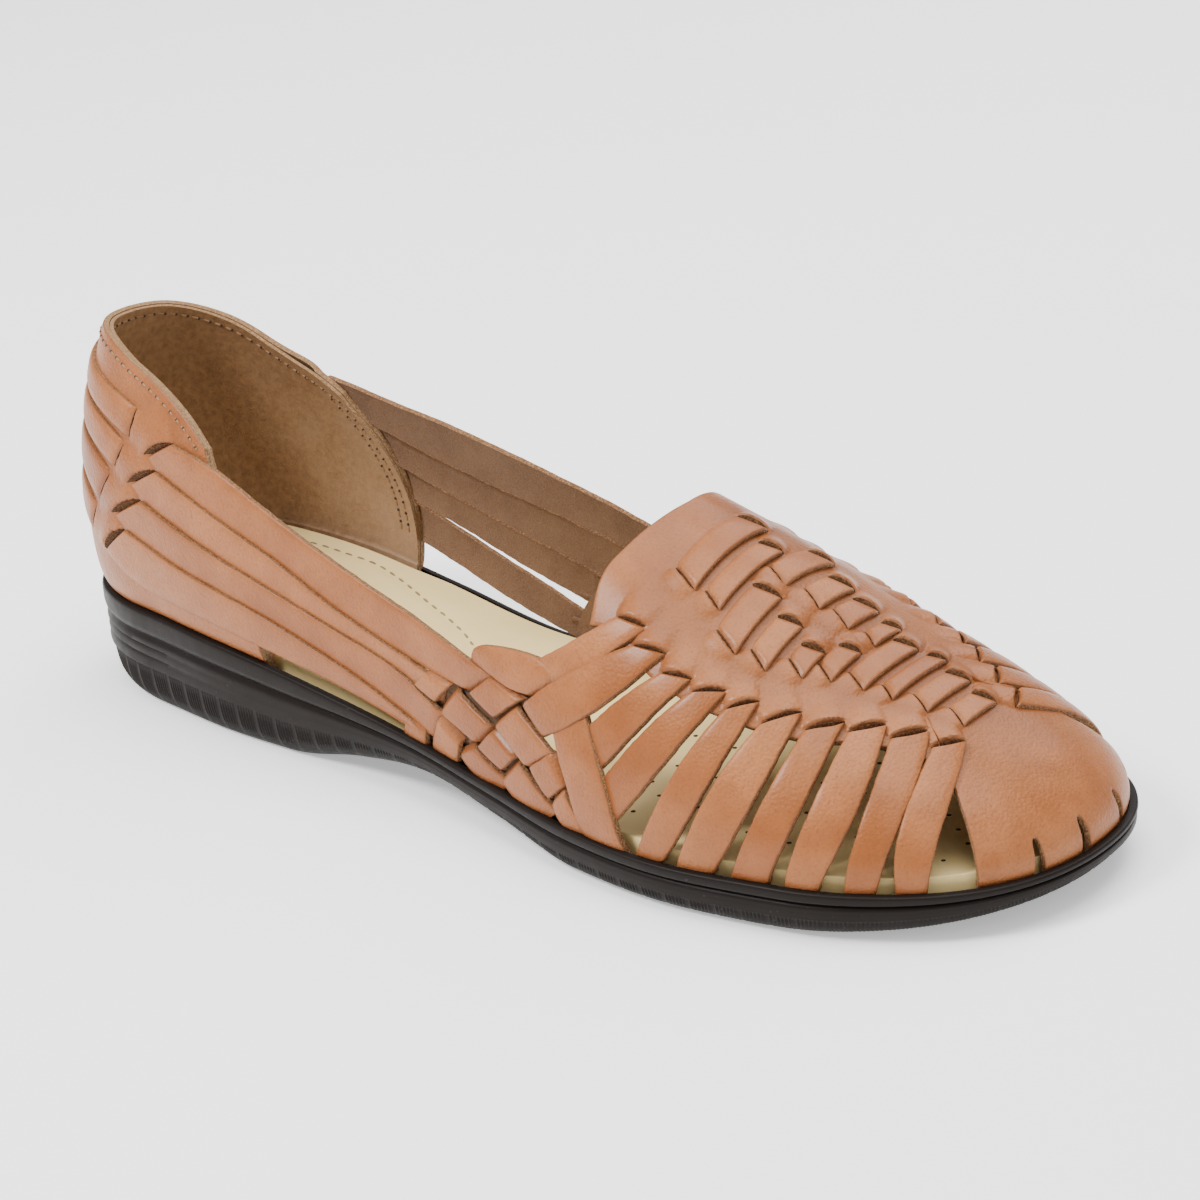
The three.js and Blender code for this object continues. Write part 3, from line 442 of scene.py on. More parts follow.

# %% [markdown]
# A cut through leather shows its fibres, so the cut edges are dull and brown with lighter specks. The
# edge inside a slit is brown too and painted darker, as the shade in the slit. The back of a strap is
# beige suede, and the inside of the heel is a thin pigskin lining, mottled, and painted paler to the
# front, as the light that falls into the heel. The collar's edge is the raw cut of leather and lining
# together, lighter than the other cuts.

# %% Cut edges, suede and lining


def raw_cut(name, gloss, spots, dark, light, roughness, depth_mm):
    """The finish of a cut through leather: dull fibres between a dark and a light brown."""
    finish = Finish(name, Specular_IOR_Level=gloss)
    fibres = finish.spots(*spots)
    finish.paint(Base_Color=finish.blend(fibres, dark, light), Roughness=roughness)
    finish.relief(fibres, depth_mm)
    return finish


cut_edge = raw_cut("cut leather edge", 0.25, (0.42, 3, 0.7, 0.4, 4),
                   (0.14, 0.06, 0.024), (0.42, 0.225, 0.105), 0.9, 0.18)
# painted shade: the cut edge inside a slit is darker than the other cuts
shaded_slit_edge = raw_cut("shaded edge inside a slit", 0.2, (0.45, 3, 0.75, 0.42, 4),
                    (0.045, 0.018, 0.007), (0.19, 0.09, 0.036), 0.95, 0.2)
collar_edge = raw_cut("raw collar edge", 0.25, (0.5, 3, 0.7, 0.38, 3.5),
                      (0.19, 0.095, 0.04), (0.4, 0.245, 0.12), 0.85, 0.15)

suede = Finish("suede back", Specular_IOR_Level=0.2, Sheen_Weight=0.12)
nap = (suede.noise(0.5, 4, 0.75) - 0.3) * 2
cloud = suede.spots(9, 3, 0.6, 0.35, 3)
beige = suede.blend(cloud, (0.205, 0.105, 0.052), (0.15, 0.07, 0.032))
suede.paint(Base_Color=suede.blend((nap * 0.5).held(), beige, (0.3, 0.18, 0.1)), Roughness=0.95)
suede.relief(nap, 0.3)

lining = Finish("heel lining", Specular_IOR_Level=0.3)
mottle = lining.spots(1.6, 5, 0.72, 0.38, 3.2)
from_back = lining.node("ShaderNodeSeparateXYZ", None, {0: lining.place})
# painted light: the lining turns paler towards the front, where light falls into the heel
front_light = (from_back * 16 + lining.noise(14, 4) * 1.1 + 1.1).held()
lining_colour = lining.blend(mottle, (0.27, 0.155, 0.078), (0.175, 0.093, 0.042))
lining.paint(Base_Color=lining.blend(front_light * 0.8, lining_colour, (0.39, 0.255, 0.155)),
             Roughness=0.62 + mottle * 0.2)
lining.relief(lining.noise(0.8, 3) + mottle * 0.4, 0.06)
print("made", [f.material.name for f in (cut_edge, shaded_slit_edge, collar_edge, suede, lining)])

# %% [markdown]
# The insole is a khaki-cream leather board with hardly any grain. The sole is moulded rubber, nearly
# black with a brown tinge, half glossy, with a few pale specks of mould dust. Thread is waxed and about
# as brown as the leather, and a pinhole is a dark dot, painted shade for the hollow of the hole.

# %% Insole, sole and thread
insole_finish = Finish("insole leather", Specular_IOR_Level=0.35)
soft = insole_finish.spots(18, 3, 0.5, 0.35, 2.5)
insole_finish.paint(Base_Color=insole_finish.blend(soft, (0.82, 0.625, 0.285), (0.74, 0.55, 0.235)),
                    Roughness=0.55 + soft * 0.15)
insole_finish.relief(insole_finish.noise(0.7, 3), 0.03)

rubber = Finish("sole rubber", Specular_IOR_Level=0.11)
dust = rubber.spots(0.9, 2, 0.5, 0.7, 8)
rubber_colour = rubber.blend(rubber.noise(12, 3), (0.0075, 0.0052, 0.0042), (0.0115, 0.0082, 0.0068))
rubber.paint(Base_Color=rubber.blend(dust * 0.35, rubber_colour, (0.1, 0.09, 0.085)),
             Roughness=0.33 + rubber.noise(3, 3) * 0.2)
rubber.relief(rubber.noise(0.5, 3), 0.02)


def speckled(name, roughness, size_mm, one, two):
    """The finish of something too small to show more than two tones."""
    finish = Finish(name, Roughness=roughness)
    finish.paint(Base_Color=finish.blend(finish.noise(size_mm, 2), one, two))
    return finish


thread = speckled("waxed thread", 0.6, 0.6, (0.21, 0.105, 0.045), (0.3, 0.165, 0.08))
seam_thread = speckled("sunken seam", 0.8, 0.6, (0.2, 0.14, 0.065), (0.3, 0.22, 0.11))
# painted shade: a dark dot stands for the shadow inside a hole
hole_shade = speckled("hole_shade", 0.9, 0.8, (0.018, 0.01, 0.007), (0.05, 0.028, 0.016))
print("made", [f.material.name for f in (insole_finish, rubber, thread, hole_shade)])

# %% [markdown]
# ## Leather as a shell
#
# Every leather piece starts as a grid of points on the outer face. The shell below gives it a thickness
# along the normals, closes it all round with a cut edge, and rounds the outer face down to that edge as a
# shoemaker's knife and wax do. Outer face, back and cut edge get their own finish. A Solidify modifier
# could do this too, but it can't tell the rounding where the edge is, nor keep the distance to it.

# %% Grids welded into one face
WELD_STEP, FAR = 0.002, 99.0  # mm


def grid_faces(rows, cols, keep=None):
    index = np.arange(rows * cols).reshape(rows, cols)
    quads = np.stack([index[:-1, :-1], index[1:, :-1], index[1:, 1:], index[:-1, 1:]], -1)
    return quads.reshape(-1, 4) if keep is None else quads[keep]


def marks(bend, gap=FAR, room=FAR):
    """Three numbers for each point: its bend (painted shade), its distance from a slit and the room for its
    thickness.
    """
    return np.stack(np.broadcast_arrays(bend, gap, room), -1)


def weld(grids):
    """One list of points, normals, marks and faces from grids whose edges meet."""
    ids, points, normals, marked, faces = {}, [], [], [], []
    for base, normal, mark, keep in grids:
        flat = base.reshape(-1, 3)
        keys = [tuple(k) for k in np.round(flat / WELD_STEP).astype(int)]
        number = []
        for key, p, n, m in zip(keys, flat, normal.reshape(-1, 3), mark.reshape(-1, 3)):
            if key not in ids:
                ids[key] = len(points)
                points.append(p)
                normals.append(n)
                marked.append(m)
            number.append(ids[key])
        for quad in grid_faces(*base.shape[:2], keep):
            face = list(dict.fromkeys(number[k] for k in quad))
            if len(face) > 2:
                faces.append(face)
    return np.array(points), np.array(normals), np.array(marked), faces


def rim_edges(faces):
    """The directed edges that only one face has."""
    seen = {}
    for face in faces:
        for a, b in zip(face, face[1:] + face[:1]):
            if (b, a) in seen:
                del seen[b, a]
            else:
                seen[a, b] = None
    return list(seen)


def distance_to(points, targets):
    """Distance from each point to the nearest of the targets."""
    best = np.full(len(points), np.inf)
    for chunk in np.array_split(targets, max(1, len(targets) // 64)):
        gap = np.linalg.norm(points[:, None] - chunk[None], axis=2).min(axis=1)
        best = np.minimum(best, gap)
    return best


def volume(points, faces):
    corners = points[np.array([(f[0], f[k], f[k + 1]) for f in faces for k in range(1, len(f) - 1)])]
    return np.einsum("ij,ij->", corners[:, 0], np.cross(corners[:, 1], corners[:, 2])) / 6


print("points nearer than", WELD_STEP, "mm are welded")

# %% [markdown]
# The shell drops the outer face near its rim by a quarter circle, copies it inwards by the wall, and joins
# the two along the rim. Where there is little room behind a piece its wall gets thinner, as leather is
# pared with a knife where a strap has to go under another.

# %% Thickness and cut edge
LEATHER = 1.5
EDGE_RADIUS, EDGE_DROP = 0.45, 0.55  # radius of the rounded edge, and how much of it is left
OUTER, BACK, CUT = 0, 1, 2


def shell(grids, wall=LEATHER):
    """A closed piece of leather: points, faces, the finish of each face, from_edge and bend, the painted shade.
    """
    points, normals, marked, faces = weld(grids)
    bend, slit_gap, room = marked.T
    rim = rim_edges(faces)
    ends = points[[a for a, _ in rim]]
    middles = (ends + points[[b for _, b in rim]]) / 2
    gap = distance_to(points, np.concatenate([ends, middles]))
    inset = EDGE_RADIUS - np.clip(gap, 0, EDGE_RADIUS)
    drop = EDGE_DROP * (EDGE_RADIUS - np.sqrt(np.maximum(EDGE_RADIUS**2 - inset**2, 0)))
    outer = points - normals * drop[:, None]
    inner = points - normals * np.minimum(wall, room)[:, None]
    half = len(points)
    made = [list(f) for f in faces]
    made += [[k + half for k in reversed(f)] for f in faces]
    made += [[b, a, a + half, b + half] for a, b in rim]
    kinds = [OUTER] * len(faces) + [BACK] * len(faces) + [CUT] * len(rim)
    both = np.concatenate([outer, inner])
    if volume(both, made) < 0:
        made = [f[::-1] for f in made]
    return both, made, kinds, np.tile(np.minimum(gap, slit_gap), 2), np.tile(bend, 2)


print("leather", LEATHER, "mm thick, its edges rounded over", EDGE_RADIUS, "mm")

# %% [markdown]
# Pieces of one kind are joined into one object, which rides on the shoe's only body. Faces are smooth and
# only edges sharper than the limit are left hard. The distance to the cut edge, the bend, which is painted
# shade, and a tone for each strip go along as attributes, because the leather's finish reads them.

# %% From shells to an object
SHARP_ANGLE = math.radians(50)
TONE_STEP = 0.618  # from one strip to the next, so that no two neighbours share a tone
STRAP_FINISHES = (leather, suede, cut_edge)


def make_piece(name, shells, finishes=STRAP_FINISHES):
    """One object from several shells, riding on the shoe's body."""
    points, faces, kinds, gaps, dive_shades, tones, start = [], [], [], [], [], [], 0
    for number, (p, f, k, gap, bend) in enumerate(shells):
        points.append(p)
        tones.append(np.full(len(p), (0.5 + TONE_STEP * number) % 1))
        faces += [[v + start for v in face] for face in f]
        kinds += list(k)
        gaps.append(gap)
        dive_shades.append(bend)
        start += len(p)
    mesh = bpy.data.meshes.new(name)
    mesh.from_pydata(to_row(np.concatenate(points)).tolist(), [], faces)
    for finish in finishes:
        mesh.materials.append(finish.material)
    mesh.polygons.foreach_set("material_index", kinds)
    # bend carries painted shade to the leather's finish
    for label, values in (("from_edge", gaps), ("bend", dive_shades), ("tone", tones)):
        attribute = mesh.attributes.new(label, "FLOAT", "POINT")
        attribute.data.foreach_set("value", np.concatenate(values).astype(np.float32))
    mesh.shade_smooth()
    mesh.set_sharp_from_angle(angle=SHARP_ANGLE)
    mesh.update()
    piece = placed(name, mesh)
    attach(piece, "root")
    triangles = sum(len(f) - 2 for f in faces)
    print(name, triangles, "triangles")
    return piece


print("edges sharper than", round(math.degrees(SHARP_ANGLE)), "degrees stay hard")

# %% [markdown]
# ## One strip on the chart
#
# A strip lies between two curves of the chart, its rear and its front edge. It may rise over its run, be
# crowned across, and dive over a rounded shoulder at either end, where it goes through a slit or under
# its neighbour. Its points lie closer together at the edges, because that is where it curves.

# %% Strip


def paced(lengths, inner):
    """Shares of each length: close together at both ends, even between."""
    lengths = np.atleast_1d(np.asarray(lengths, float))[:, None] + 1e-6
    near = np.minimum(EDGE_RADIUS, 0.2 * lengths) * np.array([0, 0.35, 1.0]) / lengths
    first, last = near[:, -1:], 1 - near[:, -1:]
    between = first + (last - first) * np.linspace(0, 1, inner + 2)[1:-1]
    return np.concatenate([near, between, 1 - near[:, ::-1]], axis=1)


def shoulder_dip(distance, width):
    """0 away from an end, 1 at it, falling in a quarter circle over the shoulder's width."""
    inward = 1 - np.clip(distance / width, 0, 1)
    return 1 - np.sqrt(np.maximum(1 - inward**2, 0))


print("where the points lie across a 10 mm strip:", paced(10.0, 3)[0].round(3))

# %% [markdown]
# The strip's thickness must not come out inside the shoe where the strip dives, so the grid also says how
# much room there is. A strap is cut by hand along a rule, so its edges wander by a few hundredths of a
# millimetre, from waves that start elsewhere on each strip.

# %% Grid of a strip
BEHIND, THINNEST = 1.45, 0.3  # how deep a strip may reach behind the chart, and its least thickness
FULL_SHADE_DIVE = 1.4  # dive at which a strip's painted shade is full
HAND_CUT = 0.05


def hand_cut(run, start):
    """How far a hand-cut edge strays from its curve, in mm."""
    return HAND_CUT * (np.sin(1.7 * run + start) + np.sin(0.71 * run + 3 * start))


def strip_grid(rear, front, lift, dive=(0, 0), shoulder=(2.5, 2.5), reach=(0, 0), crown=0.3, tilt=0.0,
               spacing=1.6, across=5):
    """The outer face of a strip between two edge curves of [q, g] points."""
    shares = np.linspace(0, 1, 17)
    middle = last_point(*((along(rear, shares) + along(front, shares)) / 2).T)
    length = np.linalg.norm(np.diff(middle, axis=0), axis=1).sum()
    full = length + sum(reach)
    run = paced(full, max(3, int(full / spacing)))[0] * full - reach[0]
    a, b = along(rear, run / length), along(front, run / length)
    width = np.linalg.norm(last_point(*a.T) - last_point(*b.T), axis=1)
    first, second = (hand_cut(run, start) / width for start in (900 * a[0, 0], 700 * b[0, 1]))
    v = first[:, None] + paced(width, across) * (1 + second - first)[:, None]
    q, g = (a[:, k, None] + (b - a)[:, k, None] * v for k in (0, 1))
    dips = [d * shoulder_dip(x, s) for d, s, x in zip(dive, shoulder, (run, length - run))]
    rise = along(lift, np.clip(run / length, 0, 1))[:, 0] - dips[0] - dips[1]
    height = rise[:, None] + crown * (1 - np.clip(2 * v - 1, -1, 1) ** 4) + tilt * (v - 0.5)
    normal = last_normal(q, g)
    # painted shade, darker the deeper the strip dives under its neighbour
    bend = np.clip((dips[0] + dips[1])[:, None] / FULL_SHADE_DIVE + 0 * v, 0, 1)
    room = np.maximum(height + BEHIND, THINNEST)
    return last_point(q, g) + normal * height[..., None], normal, marks(bend, FAR, room), None


def mirrored(points, side):
    """Chart points moved to the inner side of the foot where side is 1."""
    return [[q, g if side < 0 else 2 - g] for q, g in points]


def strip(rear, front, side, lift, wall=LEATHER, **form):
    return shell([strip_grid(mirrored(rear, side), mirrored(front, side), lift, **form)], wall)


def bowed(points, count=7):
    """A fuller list of points on the one smooth bow through three points."""
    a, b, c = (np.array(p, float) for p in points)
    first, second = (np.linalg.norm(last_point(*m) - last_point(*n)) for m, n in ((a, b), (b, c)))
    m, t = first / (first + second), np.linspace(0, 1, count)[:, None]
    return a * (t - m) * (t - 1) / m + b * t * (t - 1) / (m * (m - 1)) + c * t * (t - m) / (1 - m)


print("a bow through three points of the chart:", bowed([(0.66, 0), (0.68, 0.2), (0.71, 0.5)], 4).round(3))

# %% [markdown]
# A strip that goes into a slit lifts the leather beyond it, and the slit gapes: its raised lip shows the
# cut edge as a crescent, brown like every cut and painted darker for the shade in the slit. So a slit is
# kept as a small object that can tell three things: how high it lifts any point of the sheet, how far that
# point is from the cut, and where its crescent lies. The height rises steeply at the lip and falls away
# slowly, which is the soft swelling beyond each strip.

# %% Slits
SLIT_DEPTH = 8.0  # how far below or above it a slit still acts on leather
BOW_END = 1.06  # half a slit's bow, as a share of half the slit
CRESCENT_WALL, CRESCENT_START, CRESCENT_PAST = 0.6, -0.5, 0.1


class Slit:
    """A cut between two chart points, whose lip stands up on the side of a third one."""

    def __init__(self, start, end, toward, lip, gape, reach):
        self.start, self.end = np.array(start, float), np.array(end, float)
        self.lip, self.gape, self.reach = lip, gape, reach
        a, b, c = (last_point(*p) for p in (self.start, self.end, toward))
        self.centre, self.half = (a + b) / 2, np.linalg.norm(b - a) / 2
        self.run = (b - a) / (2 * self.half)
        away = c - self.centre
        self.rise = unit(away - away.dot(self.run) * self.run)

    def edge(self, points):
        """Share of the gape's bow, and mm beyond the lip's edge, for each point."""
        away = points - self.centre
        run, rise = away @ self.run, away @ self.rise
        level = np.linalg.norm(away - run[..., None] * self.run - rise[..., None] * self.rise, axis=-1)
        bow = np.clip(1 - (run / self.half / BOW_END) ** 2, 0, 1) * (level < SLIT_DEPTH)
        return bow, rise - self.gape * bow

    def chart(self, share, beyond):
        """Chart points at a share from -1 to 1 along the slit and mm beyond it."""
        middle = (self.start + self.end) / 2
        steps = []
        for step in ((0.002, 0), (0, 0.002)):
            ahead, behind = (last_point(*(middle + s * np.array(step))) for s in (1, -1))
            steps.append((ahead - behind) / 0.004)
        rise = np.linalg.lstsq(np.stack(steps, 1), self.rise, rcond=None)[0]
        place = middle + share[..., None] * (self.end - self.start) / 2 + beyond[..., None] * rise
        return place[..., 0], place[..., 1]

    def crescent(self):
        """The cut edge of the gaping lip, as one thin piece."""
        share, v = np.linspace(-1, 1, 17)[:, None], np.array([0, 0.2, 0.45, 0.7, 0.9, 1.0])[None, :]
        bow = 1 - (share / BOW_END) ** 2
        past = CRESCENT_PAST + self.gape * bow
        q, g = self.chart(share + 0 * v, CRESCENT_START + (past - CRESCENT_START) * v)
        height = (self.lip * bow**0.5 - 0.05) * v - 0.1 * (1 - v)
        normal = last_normal(q, g)
        grid = last_point(q, g) + normal * height[..., None], normal, marks(0 * q), None
        return shell([grid], CRESCENT_WALL)


print("a crescent is", CRESCENT_WALL, "mm thick")

# %% [markdown]
# Many slits act on one sheet. Their heights are joined by the cube root of the sum of their cubes, which
# is a maximum without a crease between neighbours. The leather between lips lies low and is painted darker
# there as shade, so the same function tells how far a point lies in such a valley.

# %% Many slits on one sheet
LIP_RAMP, VALLEY_WIDTH, VALLEY_LEVEL = 0.45, 6.0, 0.8


def lips_height(points, slits):
    """How far slits lift each point of a sheet, its distance from a cut, and the painted shade of a valley
    there.
    """
    total, near = np.zeros(points.shape[:-1]), np.zeros(points.shape[:-1])
    gap = np.full(points.shape[:-1], FAR)
    for slit in slits:
        near = np.maximum(near, np.exp(-((points - slit.centre) ** 2).sum(-1) / (2 * VALLEY_WIDTH**2)))
        bow, beyond = slit.edge(points)
        step = np.clip(beyond / LIP_RAMP, 0, 1)
        total += (slit.lip * bow**0.5 * step * np.exp(-(np.maximum(beyond, 0) / slit.reach) ** 2)) ** 3
        gap = np.where(bow > 0.02, np.minimum(gap, np.abs(beyond - LIP_RAMP)), gap)
    lift = np.cbrt(total)
    # the third amount is painted shade, darker on low leather near a slit that no lip lifts
    return lift, gap, near * (1 - np.clip(lift / VALLEY_LEVEL, 0, 1))


def end_slit(rear, front, side, last, form):
    """The slit that a strip goes into, at its last end or its first; form is its lip, gape and reach."""
    rear, front = mirrored(rear, side), mirrored(front, side)
    t = 1.0 if last else 0.0
    a, b = along(rear, t), along(front, t)
    before = (along(rear, abs(t - 0.12)) + along(front, abs(t - 0.12))) / 2
    return Slit(a, b, a + b - before, *form)


print("a lip rises over", LIP_RAMP, "mm, a valley is", 2 * VALLEY_WIDTH, "mm wide")

# %% [markdown]
# ## Sole
#
# The sole is one moulding: a rounded lip, a groove under it, a smooth band that steps in to a band of
# fine upright ribs, and a tread drawn in at the waist. Its side is a table from lip to tread. Each row
# becomes a ring round the shoe, and the ribs are made by moving every other station of the ring inwards.
# Extra rows near the heel give the two moulded steps, which fade towards the waist.

# %% Tables of the sole
ARCH_RISE, TOE_SPRING, GROOVE_DEPTH, RIB_DEPTH, WELT_ROUND = 5.5, 5.0, 0.9, 0.22, 2.5
RIB_STATIONS, DEEP_RIB_EVERY, DEEP_RIB = 1440, 14, 0.12
BORDER_WIDTH, TREAD_RECESS = 4.5, 0.9
UNDERSIDE = columns("at arch spring outer inner", [
    (0.0, 0.0, 0.3, 1.9, 1.9), (0.05, 0.0, 0.0, 1.8, 1.8), (0.28, 0.0, 0.0, 1.8, 1.9),
    (0.36, 0.6, 0.0, 2.4, 3.2), (0.45, 1.0, 0.0, 3.0, 4.6), (0.54, 0.5, 0.0, 2.5, 3.6),
    (0.62, 0.0, 0.0, 1.9, 2.2), (0.8, 0.0, 0.0, 1.8, 1.8), (0.9, 0.0, 0.3, 1.9, 1.9),
    (1.0, 0.0, 1.0, 2.2, 2.2),
])
# drop: share of the way down; draw: share of the tuck at the tread; cut: share of the groove's depth;
# ribbed: share of the rib's depth; step: a moulded step that only the heel has, in mm
SOLE_SIDE = columns("drop draw cut ribbed step", [
    (0.0, 0.12, 0.0, 0, 0), (0.012, 0.05, 0.0, 0, 0), (0.04, 0.01, 0.0, 0, 0),
    (0.09, 0.0, 0.0, 0, 0), (0.16, 0.0, 0.0, 0, 0), (0.205, 0.01, 0.12, 0, 0),
    (0.228, 0.02, 0.5, 0, 0), (0.25, 0.02, 1.0, 0, 0), (0.275, 0.03, 0.72, 0, 0),
    (0.3, 0.03, 0.3, 0, 0), (0.34, 0.04, 0.12, 0, 0), (0.36, 0.04, 0.08, 0, 0.55),
    (0.385, 0.05, 0.04, 0, 0.2), (0.44, 0.05, 0.0, 0, 0.1), (0.46, 0.05, 0.0, 0, 0.6),
    (0.485, 0.06, 0.0, 0, 0.2), (0.55, 0.06, 0.0, 0, 0), (0.566, 0.07, 0.0, 0, 0),
    (0.574, 0.17, 0.0, 0, 0), (0.59, 0.19, 0.0, 1, 0), (0.68, 0.23, 0.0, 1, 0),
    (0.76, 0.28, 0.0, 1, 0), (0.83, 0.36, 0.0, 1, 0), (0.89, 0.49, 0.0, 1, 0),
    (0.935, 0.63, 0.0, 1, 0), (0.97, 0.79, 0.0, 0.5, 0), (1.0, 1.0, 0.0, 0, 0),
])
print("rows from the sole's lip to its tread:", len(SOLE_SIDE["drop"]))

# %% [markdown]
# A ring follows the sole's outline at one height, moved inwards by the inset of its row. The rings are
# stacked into one closed body, and rows of faces across the shoe close its two ends. Curves could be
# lofted by hand as well, but the ribs need stations at an even pitch all round.

# %% Rings round the sole


def ring_points(t, inset):
    """Plan points round the sole, t from 0 at the heel over the outer side to 1 at the toe and on to 2."""
    def place(s):
        turn = (s + 2) % 2
        x = along_shoe(np.where(turn <= 1, turn, 2 - turn))
        return np.stack([x, outline_y(x, np.where(turn <= 1, -1, 1))], -1)
    tangent = unit(place(t + 0.002) - place(t - 0.002))
    return place(t) + np.stack([-tangent[:, 1], tangent[:, 0]], -1) * np.broadcast_to(inset, t.shape)[:, None]


def underside(x):
    at = x / SOLE_LENGTH
    rise = ARCH_RISE * read(UNDERSIDE, "arch", at) + TOE_SPRING * read(UNDERSIDE, "spring", at)
    return np.maximum(rise, 0)


def sole_ring(t, inset, height):
    plan = ring_points(t, inset)
    return np.concatenate([plan, height(plan[:, 0])[:, None]], axis=1)


def stacked(rings):
    """Points and faces of a closed piece between rings, its two ends closed by rows across the shoe."""
    count = len(rings[0])
    faces = []
    for k in range(len(rings) - 1):
        for i in range(count):
            a, b = k * count + i, k * count + (i + 1) % count
            faces.append([a, b, b + count, a + count])
    for base, flip in ((0, True), ((len(rings) - 1) * count, False)):
        for i in range(count // 2):
            quad = [base + i, base + i + 1, base + count - i - 1, base + (count - i) % count]
            quad = list(dict.fromkeys(quad))
            faces.append(quad[::-1] if flip else quad)
    points = np.concatenate(rings)
    if volume(points, faces) < 0:
        faces = [f[::-1] for f in faces]
    return points, faces


print("the arch rises", round(float(underside(0.45 * SOLE_LENGTH)), 1), "mm off the floor")

# %% [markdown]
# The moulded steps and the ribs are added to the inset of each row. Both are real shape, because the ribs
# show as teeth against the floor.

# %% The moulding
STEPS_END, STEPS_FADE = 63, 42  # the steps end this far from the heel, fading over the second length
stations = np.arange(RIB_STATIONS)
ring_t = 2 * stations / RIB_STATIONS
ring_x = along_shoe(np.where(ring_t <= 1, ring_t, 2 - ring_t))
tuck = WELT_ROUND * np.where(ring_t <= 1, read(UNDERSIDE, "outer", ring_x / SOLE_LENGTH),
                             read(UNDERSIDE, "inner", ring_x / SOLE_LENGTH))
rib = RIB_DEPTH * (stations % 2) + DEEP_RIB * (stations % DEEP_RIB_EVERY == 0)
at_heel = np.clip((STEPS_END - ring_x) / STEPS_FADE, 0, 1)
rings = [sole_ring(ring_t, LIP_WIDTH, lambda x: rim_height(x) - RECESS_DEPTH),
         sole_ring(ring_t, LIP_WIDTH, rim_height)]
for k, drop in enumerate(SOLE_SIDE["drop"]):
    draw, cut, ribbed, step = (SOLE_SIDE[c][k] for c in ("draw", "cut", "ribbed", "step"))
    inset = draw * tuck + cut * GROOVE_DEPTH + ribbed * rib + step * at_heel
    rings.append(sole_ring(ring_t, inset, lambda x: rim_height(x) * (1 - drop) + underside(x) * drop))
rings.append(sole_ring(ring_t, tuck + BORDER_WIDTH, underside))
rings.append(sole_ring(ring_t, tuck + BORDER_WIDTH + 0.5, lambda x: underside(x) + TREAD_RECESS))
sole_points, sole_faces = stacked(rings)
no_edge = np.full(len(sole_points), FAR)
sole = make_piece("sole", [(sole_points, sole_faces, [0] * len(sole_faces), no_edge, 0 * no_edge)],
                  [rubber])
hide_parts("outsole")

# %% [markdown]
# ## Repeats with Geometry Nodes
#
# The tread, the stitches and the pinholes are one small shape many times. A Geometry Nodes tree puts that
# shape on the points of a mesh, or along its edges at an even pitch, and its inputs are the sizes. The
# result is turned into a plain mesh, because an exported model keeps no instances.

# %% Trees that repeat a small shape


class Tree:
    """A Geometry Nodes tree with named inputs, written like the finishes."""

    def __init__(self, name, inputs):
        self.tree = bpy.data.node_groups.new(name, "GeometryNodeTree")
        self.tree.interface.new_socket("Geometry", in_out="INPUT", socket_type="NodeSocketGeometry")
        self.keys = {}
        for label, kind in inputs.items():
            socket = self.tree.interface.new_socket(label, in_out="INPUT", socket_type="NodeSocket" + kind)
            self.keys[label] = socket.identifier
        self.tree.interface.new_socket("Geometry", in_out="OUTPUT", socket_type="NodeSocketGeometry")
        self.entry = self.tree.nodes.new("NodeGroupInput")

    def given(self, label):
        return self.entry.outputs[label]

    def node(self, kind, settings=None, sockets=None, output=0):
        made = add_node(self.tree, kind, settings, sockets)
        return made.outputs[output] if output is not None else made

    def finish(self, geometry):
        real = self.node("GeometryNodeRealizeInstances", None, {"Geometry": geometry})
        sockets = {"Geometry": real, "Material": self.given("Finish")}
        painted = self.node("GeometryNodeSetMaterial", None, sockets)
        self.node("NodeGroupOutput", None, {0: painted}, output=None)


print("what a tree can do:", [name for name in vars(Tree) if name[0] != "_"])

# %% [markdown]
# Three trees are enough: bars on points for the tread, dots on points for the pierced insole, and a row
# of stretched dots that follow a line, for stitches and the holes between them.

# %% The three trees
bars = Tree("bars on points", {"Size": "Vector", "Turn": "Vector", "Finish": "Material"})
bar = bars.node("GeometryNodeMeshCube", None, {"Size": bars.given("Size")})
bars.finish(bars.node("GeometryNodeInstanceOnPoints", None, {
    "Points": bars.given("Geometry"), "Instance": bar, "Rotation": bars.given("Turn")}))

dots = Tree("dots on points", {"Size": "Vector", "Finish": "Material"})
ball = dots.node("GeometryNodeMeshUVSphere", None, {"Segments": 8, "Rings": 5, "Radius": 1.0})
dot = dots.node("GeometryNodeTransform", None, {"Geometry": ball, "Scale": dots.given("Size")})
dots.finish(dots.node("GeometryNodeInstanceOnPoints", None, {
    "Points": dots.given("Geometry"), "Instance": dot}))

row = Tree("row along a line", {"Pitch": "Float", "Size": "Vector", "Finish": "Material"})
line = row.node("GeometryNodeMeshToCurve", None, {"Mesh": row.given("Geometry")})
points = row.node("GeometryNodeCurveToPoints", {"mode": "LENGTH"},
                  {"Curve": line, "Length": row.given("Pitch")}, output=None)
ball = row.node("GeometryNodeMeshUVSphere", None, {"Segments": 8, "Rings": 6, "Radius": 1.0})
stitch = row.node("GeometryNodeTransform", None, {"Geometry": ball, "Scale": row.given("Size")})
row.finish(row.node("GeometryNodeInstanceOnPoints", None, {
    "Points": points.outputs["Points"], "Instance": stitch, "Rotation": points.outputs["Rotation"]}))
print("trees", [t.tree.name for t in (bars, dots, row)])

# %% [markdown]
# The points or lines are put into a guide mesh, the tree runs on it as a modifier, and the evaluated mesh
# takes the guide's place. The modifier's inputs are set by their identifiers, since a name may be taken
# twice.

# %% Running a tree over points


